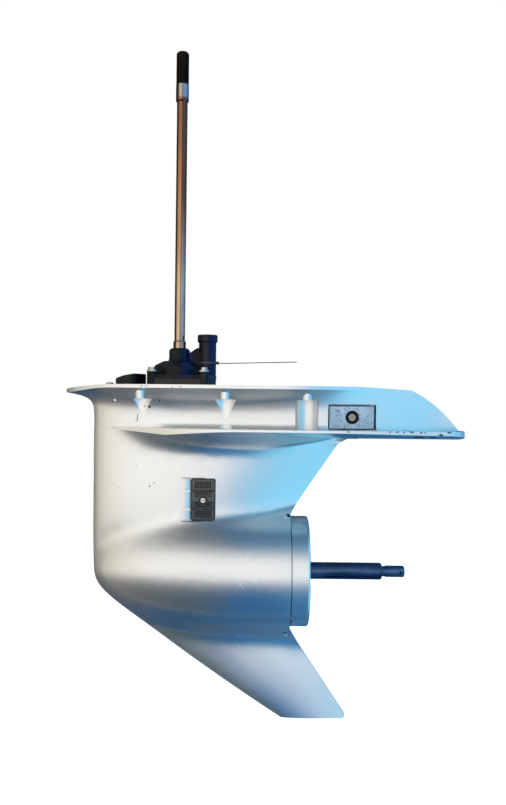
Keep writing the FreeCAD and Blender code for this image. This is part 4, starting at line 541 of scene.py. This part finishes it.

# %% [markdown]
# The housing is cast aluminium with silver paint: small flakes of metal in clear lacquer. A
# plain mirror would look like chrome and plain grey like plastic. A metallic shader of middling
# roughness lies between them, and two noises colour it: wide soft clouds, and fine bright flake.
# The skeg is painted paler, a painted highlight, and the chamber behind the screens is painted
# nearly black as painted shade. A thin dark line parts the holder's ring from the housing.

# %% Casting paint
PAINT, PAINT_METALLIC, PAINT_ROUGHNESS = (0.66, 0.67, 0.68), 0.94, 0.28
CLOUD_TONES = [(0.35, (0.64, 0.65, 0.655)), (0.65, (0.70, 0.705, 0.71))]
FLAKE_BRIGHT = (0.80, 0.80, 0.81)
# The skeg's paler paint is a painted highlight.
SKEG_PAINTED_HIGHLIGHT, SKEG_SHARE, SKEG_FROM, SKEG_TO = (0.95, 0.93, 0.90), 0.75, -0.365, -0.405
# Dark marks: chipped paint, and painted shade in small holes.
CHIP_AND_HOLE_DARK, SCRATCH_BRIGHT = (0.03, 0.035, 0.05), (0.95, 0.95, 0.93)
# The chamber behind each screen is painted nearly black as painted shade.
CHAMBER_PAINTED_SHADE, CHAMBER_WIDER, CHAMBER_DEPTH = (0.012, 0.013, 0.014), 0.002, 0.0004
SEAM_DARK, SEAM_CENTRE, SEAM_HALF = (0.05, 0.06, 0.08), (0.1684, 0.0, -0.28), (0.0006, 0.2, 0.088)
GLOSS_LOW, GLOSS_HIGH = 0.24, 0.33


def silver_paint(tree, place):
    """Clouds and flake, with a painted highlight that makes the skeg paler."""
    clouds = ramp(tree, noise(tree, place, scale=5.0, detail=1.0), 0, CLOUD_TONES)
    flake = spots(tree, noise(tree, place, scale=420.0, detail=3.0), 0.45, 0.75, most=0.25)
    silver = mix_colour(tree, (flake, 0), (clouds, 0), FLAKE_BRIGHT)
    # Painted highlight: the skeg is made paler.
    skeg_highlight = along_axis(tree, place, "Z", SKEG_FROM, SKEG_TO, To_Max=SKEG_SHARE)
    return mix_colour(tree, (skeg_highlight, 0), silver, SKEG_PAINTED_HIGHLIGHT)


def casting_paint():
    """Silver paint with chips, scratches, the seam and painted shade in the chambers."""
    material, tree, shader, place = finish_base("casting_paint", PAINT, PAINT_METALLIC,
                                                PAINT_ROUGHNESS)
    # Chips, and painted shade of small holes.
    chips_and_hole_shade = marked(tree, place, CHIPS_AND_HOLE_SHADE)
    scratches = marked(tree, place, SCRATCHES)
    worn = mix_colour(tree, (chips_and_hole_shade, 0), silver_paint(tree, place), CHIP_AND_HOLE_DARK)
    scratched = mix_colour(tree, (scratches, 0), worn, SCRATCH_BRIGHT)
    seam = inside_box(tree, place, SEAM_CENTRE, SEAM_HALF, soft=0.1)
    parted = mix_colour(tree, (seam, 0), scratched, SEAM_DARK)
    # Painted shade: the room behind the screens is painted nearly black.
    room = (screen_half.x + CHAMBER_WIDER, -screen_high.y - CHAMBER_DEPTH,
            screen_half.z + CHAMBER_WIDER)
    chamber_shade = inside_box(tree, place, (screen_middle.x, 0.0, screen_middle.z), room, soft=0.01)
    colour = mix_colour(tree, (chamber_shade, 0), parted, CHAMBER_PAINTED_SHADE)
    join(tree, *colour, shader, "Base Color")
    gloss = add(tree, "ShaderNodeMapRange", From_Min=NOISE_LOW, From_Max=NOISE_HIGH,
                To_Min=GLOSS_LOW, To_Max=GLOSS_HIGH)
    join(tree, noise(tree, place, scale=7.0, detail=1.0), 0, gloss, 0)
    dull = combine(tree, "MAXIMUM", (gloss, 0), (chips_and_hole_shade, 0))
    join(tree, dull, 0, shader, "Roughness")
    roughen(tree, shader, scoop_height(tree, place), strength=1.0, depth=SCOOP_BEND)
    return material


finishes["casting_paint"] = casting_paint()
print("casting paint:", len(finishes["casting_paint"].node_tree.nodes), "nodes")

# %% [markdown]
# The cable tie, the rubber seals and the gaskets are moulded or pressed in one colour. What
# makes them look real is a fine grain and a little dust, so one recipe serves all three: a
# bloom of a lighter tone, roughness that varies, and a bump of a fifth of a millimetre.

# %% Moulded plastic, rubber and gaskets
DUST_LIFT = 0.008


def moulded(name, colour, roughness, grain):
    """Moulded plastic or rubber: one colour with a fine grain and a dusty bloom."""
    material, tree, shader, place = finish_base(name, colour, 0.0, roughness)
    bloom = spots(tree, noise(tree, place, scale=40.0, detail=5.0), 0.48, 0.8, most=0.5)
    dusty = tuple(value * 2.0 + DUST_LIFT for value in colour)
    join(tree, *mix_colour(tree, (bloom, 0), colour, dusty), shader, "Base Color")
    texture = noise(tree, place, grain, detail=2.0)
    vary_roughness(tree, shader, texture, roughness - 0.06, roughness + 0.08)
    roughen(tree, shader, texture, strength=0.2, depth=0.0002)
    return material


finishes["tie_plastic"] = moulded("tie_plastic", (0.05, 0.05, 0.052), 0.45, 600.0)
finishes["black_rubber"] = moulded("black_rubber", (0.015, 0.015, 0.015), 0.62, 500.0)
finishes["gasket"] = moulded("gasket", (0.12, 0.11, 0.10), 0.75, 400.0)
print("moulded finishes: 3")

# %% [markdown]
# The intake screens are dark plastic that has stood in river water: dusty and brownish above,
# cleaner and bluish below, with a darker frame, two bars across and a clean ring where the
# screw's head has turned. One ramp along the height gives the tones in their order. The holes of
# the mesh are real, and the walls inside them are painted nearly black, because little light
# reaches them.

# %% Tones of the screen
PLASTIC_DARK = (0.02, 0.02, 0.02)
LOWER_GREY, LOWER_GREY_TOP = (0.045, 0.048, 0.050), (0.045, 0.048, 0.052)
BLUISH, BROWNISH, BAR = (0.026, 0.032, 0.045), (0.085, 0.074, 0.066), (0.008, 0.008, 0.011)
SCREEN_TONES = [(0.0, LOWER_GREY), (0.24, LOWER_GREY_TOP), (0.255, BAR), (0.295, BAR),
                (0.31, BLUISH), (0.44, BLUISH), (0.50, BROWNISH), (0.68, BROWNISH),
                (0.69, BAR), (0.73, BAR), (0.74, BROWNISH), (1.0, BROWNISH)]
SCREEN_DUST = (0.110, 0.100, 0.090)
FRAME_DARK, FRAME_WIDTH = (0.014, 0.013, 0.013), 0.0017
RING_DARK, RING_R = (0.006, 0.006, 0.007), 0.0064
MESH_DARK, MESH_DEPTH = (0.002, 0.002, 0.003), 0.0012
print("tones up the screen:", len(SCREEN_TONES))

# %% Screen plastic


def screen_plastic():
    """The screens' plastic, with its frame, bars, dust and dark mesh."""
    material, tree, shader, place = finish_base("screen_plastic", PLASTIC_DARK, 0.0, 0.45)
    height = along_axis(tree, place, "Z", screen_low.z, screen_high.z)
    tone = ramp(tree, height, 0, SCREEN_TONES)
    dust = spots(tree, noise(tree, place, scale=160.0, detail=5.0), 0.5, 0.72, most=0.5)
    dusty = mix_colour(tree, (dust, 0), (tone, 0), SCREEN_DUST)
    clean = beyond(tree, place, "intake_screws", RING_R)
    worn = mix_colour(tree, (clean, 0), RING_DARK, dusty)
    centre = (screen_middle.x, 0.0, screen_middle.z)
    inner = (screen_half.x - FRAME_WIDTH, 1.0, screen_half.z - FRAME_WIDTH)
    framed = mix_colour(tree, (inside_box(tree, place, centre, inner), 0), FRAME_DARK, worn)
    deep = inside_box(tree, place, centre, (1.0, -screen_low.y - MESH_DEPTH, 1.0), soft=0.004)
    join(tree, *mix_colour(tree, (deep, 0), framed, MESH_DARK), shader, "Base Color")
    vary_roughness(tree, shader, noise(tree, place, scale=300.0, detail=3.0), 0.34, 0.56)
    roughen(tree, shader, noise(tree, place, scale=500.0, detail=2.0), strength=0.2, depth=0.0002)
    return material


screen_finish = screen_plastic()
print("screen plastic:", len(screen_finish.node_tree.nodes), "nodes")

# %% [markdown]
# The water pump, its base and the shift cover are one kind of black plastic. Its front parts
# get a painted warm reflection, and where it faces what is behind the stern a painted dark blue
# reflection. Black plastic mirrors very little, so the light alone doesn't bring them out, and a
# ramp along X paints them. Its stops are in millimetres aft of the drive shaft.

# %% Pump plastic
# The warm front tone and the blue rear tones are painted reflections, not the plastic's colour.
BLACK, PAINTED_WARM_REFLECTION, PAINTED_BLUE_REFLECTION = (0.0010, 0.0014, 0.005), (0.009, 0.009, 0.010), (0.001, 0.004, 0.050)
COVER_FRONT, COVER_REAR = (0.010, 0.010, 0.010), (0.020, 0.019, 0.018)
TOWER_PAINTED_HIGHLIGHT, TOWER_PAINTED_BLUE = (0.020, 0.020, 0.024), (0.002, 0.005, 0.040)
TOWER_REAR_PAINTED_BLUE = (0.003, 0.018, 0.085)
PUMP_TONES_AND_REFLECTIONS = [(-95, COVER_FRONT), (-74, COVER_REAR), (-66, BLACK), (-28, BLACK), (-18, PAINTED_WARM_REFLECTION),
              (-2, PAINTED_WARM_REFLECTION), (3, (0.002, 0.003, 0.014)), (10, PAINTED_BLUE_REFLECTION), (18, PAINTED_BLUE_REFLECTION), (24, BLACK),
              (34, BLACK), (38, TOWER_PAINTED_HIGHLIGHT), (42, TOWER_PAINTED_HIGHLIGHT), (45, TOWER_PAINTED_BLUE),
              (56, TOWER_REAR_PAINTED_BLUE)]
PUMP_FROM, PUMP_TO = -100, 60
PUMP_BLOOM = (0.014, 0.014, 0.017)


def pump_plastic():
    """Black plastic with a painted warm reflection on its front parts and a painted blue one at
    the rear.
    """
    material, tree, shader, place = finish_base("black_plastic", (0.004, 0.004, 0.010), 0.0, 0.40)
    shader.inputs["Specular IOR Level"].default_value = 0.17
    along = along_axis(tree, place, "X", PUMP_FROM / MILLI, PUMP_TO / MILLI)
    stops = [((x - PUMP_FROM) / (PUMP_TO - PUMP_FROM), colour) for x, colour in PUMP_TONES_AND_REFLECTIONS]
    # The ramp paints the warm and blue reflections along X.
    tone = ramp(tree, along, 0, stops)
    bloom = spots(tree, noise(tree, place, scale=60.0, detail=5.0), 0.50, 0.8, most=0.35)
    join(tree, *mix_colour(tree, (bloom, 0), (tone, 0), PUMP_BLOOM), shader, "Base Color")
    texture = noise(tree, place, scale=700.0, detail=2.0)
    vary_roughness(tree, shader, texture, 0.34, 0.48)
    roughen(tree, shader, texture, strength=0.2, depth=0.0002)
    return material


finishes["black_plastic"] = pump_plastic()
print("pump plastic:", len(PUMP_TONES_AND_REFLECTIONS), "tones")

# %% [markdown]
# Gears, bearings, washers, bolts and plates are bare metal. Each was turned, ground or cast, and
# that leaves fine streaks. One recipe makes them all: a noise mixes the metal's colour with a
# darker one and varies its gloss, and stretching the noise draws it out along the way that the
# piece was turned. The propeller shaft is blue-black and is streaked along its length.

# %% Plain metals
PLAIN_METALS = {"grey_plate": ((0.060, 0.055, 0.048), 0.50, 120.0),
                "gear_steel": ((0.42, 0.41, 0.40), 0.25, 90.0),
                "bearing_steel": ((0.60, 0.60, 0.61), 0.16, 140.0),
                "stainless": ((0.50, 0.49, 0.47), 0.30, 160.0),
                "bronze": ((0.55, 0.36, 0.17), 0.30, 110.0),
                "cast_aluminium": ((0.58, 0.58, 0.58), 0.42, 130.0)}
STREAK_DARKER = 0.72


def metal(name, colour, roughness, streak, stretch=ALL_WAYS, darker=None):
    """Machined metal with fine streaks of a darker tone."""
    material, tree, shader, place = finish_base(name, colour, 1.0, roughness)
    marks = noise(tree, place, streak, 4.0, stretch)
    darker = darker or tuple(value * STREAK_DARKER for value in colour)
    share = spots(tree, marks, 0.38, 0.62)
    join(tree, *mix_colour(tree, (share, 0), darker, colour), shader, "Base Color")
    vary_roughness(tree, shader, marks, roughness - 0.06, roughness + 0.1)
    roughen(tree, shader, marks, strength=0.15, depth=0.0001)
    return material


for slot, (colour, roughness, streak) in PLAIN_METALS.items():
    finishes[slot] = metal(slot, colour, roughness, streak)
finishes["prop_shaft_steel"] = metal("prop_shaft_steel", (0.085, 0.125, 0.225), 0.32, 90.0,
                                     stretch=(0.15, 1.0, 1.0), darker=(0.022, 0.048, 0.105))
print("metals:", len(PLAIN_METALS) + 1)

# %% [markdown]
# The drive shaft is polished steel that has been hot and wet: golden low down, tarnished brown
# above, with a bright ground band and a black splined end. A cylinder shows the two sides of the
# studio as two stripes, which light alone can't tint, so one ramp up the shaft colours its fore
# side, another one its aft side, and a third ramp across it says which side a point is on. The
# reddish and purple aft side is partly tarnish and partly painted reflection, and a fourth ramp
# across paints a dark stripe along the fore edge and a thin one near the middle as painted
# reflection. Its stops are shares of the height above the deck.

# %% Tones of the drive shaft
SHAFT_HEIGHT = 0.5
SHAFT_R = 0.009
SPLINES_BLACK = (0.010, 0.009, 0.008)
GOLD, BRONZED, BAND = (0.50, 0.38, 0.25), (0.36, 0.18, 0.085), (0.58, 0.52, 0.42)
# The fore and aft tones are partly tarnish and partly painted reflection.
FORE_TARNISH_AND_REFLECTION = [(0.0, GOLD), (0.28, GOLD), (0.46, (0.42, 0.26, 0.14)), (0.62, BRONZED),
              (0.858, BRONZED), (0.862, BAND), (0.899, BAND), (0.901, SPLINES_BLACK)]
RED_STEEL, PURPLE, AFT_BAND = (0.66, 0.36, 0.31), (0.23, 0.058, 0.050), (0.42, 0.32, 0.42)
AFT_TARNISH_AND_REFLECTION = [(0.0, RED_STEEL), (0.30, RED_STEEL), (0.46, (0.50, 0.17, 0.14)), (0.56, PURPLE),
             (0.858, PURPLE), (0.862, AFT_BAND), (0.899, AFT_BAND), (0.901, SPLINES_BLACK)]
SIDE_STOPS = [(0.54, grey(0.0)), (0.60, grey(1.0))]
# A dark stripe along the fore edge and a thin one near the middle: painted reflection.
PAINTED_STRIPE_STOPS = [(0.0, grey(1.0)), (0.19, grey(0.97)), (0.29, grey(0.0)), (0.50, grey(0.0)),
              (0.56, grey(0.9)), (0.62, grey(0.0))]
PAINTED_DARK_STRIPE, STAIN, RING_STAIN = (0.022, 0.010, 0.006), (0.09, 0.045, 0.03), (0.05, 0.03, 0.03)
print("tones up the shaft:", len(FORE_TARNISH_AND_REFLECTION), "fore and", len(AFT_TARNISH_AND_REFLECTION), "aft")

# %% Drive shaft steel


def drive_shaft_steel():
    """Tarnished steel with painted reflection stripes, a ground band and a black splined end."""
    material, tree, shader, place = finish_base("drive_shaft_steel", (0.4, 0.3, 0.2), 1.0, 0.2)
    height = along_axis(tree, place, "Z", 0.0, SHAFT_HEIGHT)
    across = along_axis(tree, place, "X", -SHAFT_R, SHAFT_R)
    fore = ramp(tree, height, 0, FORE_TARNISH_AND_REFLECTION)
    aft = ramp(tree, height, 0, AFT_TARNISH_AND_REFLECTION)
    sides = mix_colour(tree, (ramp(tree, across, 0, SIDE_STOPS), 0), (fore, 0), (aft, 0))
    # Painted reflection: dark stripes across the shaft.
    tone = mix_colour(tree, (ramp(tree, across, 0, PAINTED_STRIPE_STOPS), 0), sides, PAINTED_DARK_STRIPE)
    streaks = noise(tree, place, scale=90.0, detail=4.0, stretch=(1.0, 1.0, 0.10))
    stained = mix_colour(tree, (spots(tree, streaks, 0.40, 0.70, most=0.6), 0), tone, STAIN)
    rings = add(tree, "ShaderNodeTexWave", wave_type="BANDS", bands_direction="Z",
                Scale=160.0, Distortion=1.0)
    join(tree, place, "Object", rings, 0)
    fine = ramp(tree, rings, 0, [(0.0, grey(0.18)), (0.5, grey(0.0))])
    join(tree, *mix_colour(tree, (fine, 0), stained, RING_STAIN), shader, "Base Color")
    rough = ramp(tree, height, 0, [(0.0, grey(0.17)), (0.899, grey(0.22)), (0.901, grey(0.6))])
    join(tree, rough, 0, shader, "Roughness")
    return material


finishes["drive_shaft_steel"] = drive_shaft_steel()
print("drive shaft steel:", len(finishes["drive_shaft_steel"].node_tree.nodes), "nodes")

# %% [markdown]
# The screws of the screens are bright, with a dark slot and rim. The bolts of the anodes are
# worn grey in the middle, with painted shade of their counterbore round it. Both could share the
# record's stainless finish, but they are the points that the eye goes to on the flank, so each
# gets its own.

# %% Screws and bolts
SCREW_TONES = ((0.52, 0.52, 0.52), (0.72, 0.72, 0.73))
SCREW_RIM, SCREW_RIM_R = (0.030, 0.030, 0.032), 0.0034
SLOT_DARK, SLOT_HALF = (0.02, 0.02, 0.02), (0.0024, 1.0, 0.0005)
BOLT_TONES = ((0.20, 0.18, 0.17), (0.36, 0.34, 0.33))
# The dark ring round each bolt is painted shade of its counterbore.
BOLT_RING_SHADE, BOLT_RING_R = (0.018, 0.017, 0.019), 0.0050


def screw_steel():
    """The intake screens' screws: bright heads with a dark slot and rim."""
    material, tree, shader, place = finish_base("screw_steel", (0.6, 0.6, 0.6), 1.0, 0.30)
    low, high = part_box("intake_screws")
    middle = (low + high) / 2
    worn = noise(tree, place, scale=500.0, detail=3.0)
    bright = mix_colour(tree, (worn, 0), *SCREW_TONES)
    rim = beyond(tree, place, "intake_screws", SCREW_RIM_R)
    rimmed = mix_colour(tree, (rim, 0), bright, SCREW_RIM)
    slot = inside_box(tree, place, (middle.x, 0.0, middle.z), SLOT_HALF, soft=0.1)
    join(tree, *mix_colour(tree, (slot, 0), rimmed, SLOT_DARK), shader, "Base Color")
    return material


def anode_bolt_steel():
    """The anodes' bolts: a worn grey middle in a ring of painted shade."""
    material, tree, shader, place = finish_base("anode_bolt_steel", (0.2, 0.2, 0.2), 1.0, 0.36)
    worn = noise(tree, place, scale=400.0, detail=4.0)
    middle = mix_colour(tree, (worn, 0), *BOLT_TONES)
    # Painted shade of the counterbore round the bolt.
    counterbore_shade = beyond(tree, place, "anode_bolts", BOLT_RING_R)
    join(tree, *mix_colour(tree, (counterbore_shade, 0), middle, BOLT_RING_SHADE), shader, "Base Color")
    return material


screw_finish = screw_steel()
bolt_finish = anode_bolt_steel()
print("screw rim from", SCREW_RIM_R * MILLI, "mm, bolt ring from", BOLT_RING_R * MILLI, "mm")

# %% [markdown]
# The anodes are blocks of zinc that the sea eats in place of the casting. They are pale, dull
# and pitted, with a white bloom. The edge of each face is painted dark as painted shade of the
# gap round it, and a ring round its bolt as painted shade of the counterbore. The pits could be
# carved, but they are under a millimetre deep, so one noise gives both their bump and their dark
# colour, which keeps the two in step.

# %% Zinc
ZINC, ZINC_METALLIC, ZINC_ROUGHNESS = (0.50, 0.56, 0.62), 0.35, 0.55
ZINC_DULL, ZINC_BLOOM = (0.50, 0.56, 0.65), (0.70, 0.77, 0.84)
PIT_DARK = (0.20, 0.22, 0.26)
# The dark rim is painted shade of the gap round the anode, the dark ring that of the counterbore.
GAP_SHADE, GAP_SHADE_WIDTH = (0.008, 0.012, 0.028), 0.0017
BOLT_HOLE_SHADE, BOLT_HOLE_R = (0.008, 0.009, 0.014), 0.0098


def anode_zinc():
    """Cast zinc: pale, dull and pitted, with a white bloom and a rim of painted shade."""
    material, tree, shader, place = finish_base("anode_zinc", ZINC, ZINC_METALLIC,
                                                ZINC_ROUGHNESS)
    pits = noise(tree, place, scale=300.0, detail=5.0)
    bloom = spots(tree, noise(tree, place, scale=90.0, detail=4.0), 0.45, 0.75, most=0.8)
    tone = mix_colour(tree, (bloom, 0), ZINC_DULL, ZINC_BLOOM)
    dark = ramp(tree, pits, 0, [(0.36, grey(0.75)), (0.44, grey(0.0))])
    pitted = mix_colour(tree, (dark, 0), tone, PIT_DARK)
    low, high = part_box("anode_port")
    middle, half = (low + high) / 2, (high - low) / 2
    inner = (half.x - GAP_SHADE_WIDTH, 1.0, half.z - GAP_SHADE_WIDTH)
    face = inside_box(tree, place, (middle.x, 0.0, middle.z), inner)
    # Painted shade: along the face's edge, and round the bolt.
    framed = mix_colour(tree, (face, 0), GAP_SHADE, pitted)
    hole_shade = beyond(tree, place, "anode_bolts", BOLT_HOLE_R)
    join(tree, *mix_colour(tree, (hole_shade, 0), BOLT_HOLE_SHADE, framed), shader, "Base Color")
    vary_roughness(tree, shader, pits, 0.5, 0.72)
    roughen(tree, shader, pits, strength=0.55, depth=0.0006)
    return material


finishes["zinc"] = anode_zinc()
print("zinc face inside a rim of", GAP_SHADE_WIDTH * MILLI, "mm")

# %% [markdown]
# The record names a material slot for each piece. A finish could be set on each node by hand,
# but going through the record's rows leaves none out. The screens, their screws and the anodes'
# bolts then get the finish of their own in its place.

# %% Put the finishes on the CAD nodes
OWN_FINISHES = {"intake_screen_port": screen_finish, "intake_screen_starboard": screen_finish,
                "anode_bolts": bolt_finish, "intake_screws": screw_finish}

for row in frame["record"]["subparts"]:
    piece = nodes[row["node"]]
    piece.data.materials.clear()
    piece.data.materials.append(finishes[row["material_slot"]])
for name, finish in OWN_FINISHES.items():
    nodes[name].data.materials[0] = finish

# %% [markdown]
# Nothing here may change the object's size. The CAD box from the start and the box of what is
# seen at the end are kept side by side, and their largest difference is printed.

# %% Sizes and the end
seen_box = [list(corner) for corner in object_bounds()]
changes = [abs(a - b) for one, two in zip(cad_box, seen_box) for a, b in zip(one, two)]
print("largest change of the box:", max(changes))
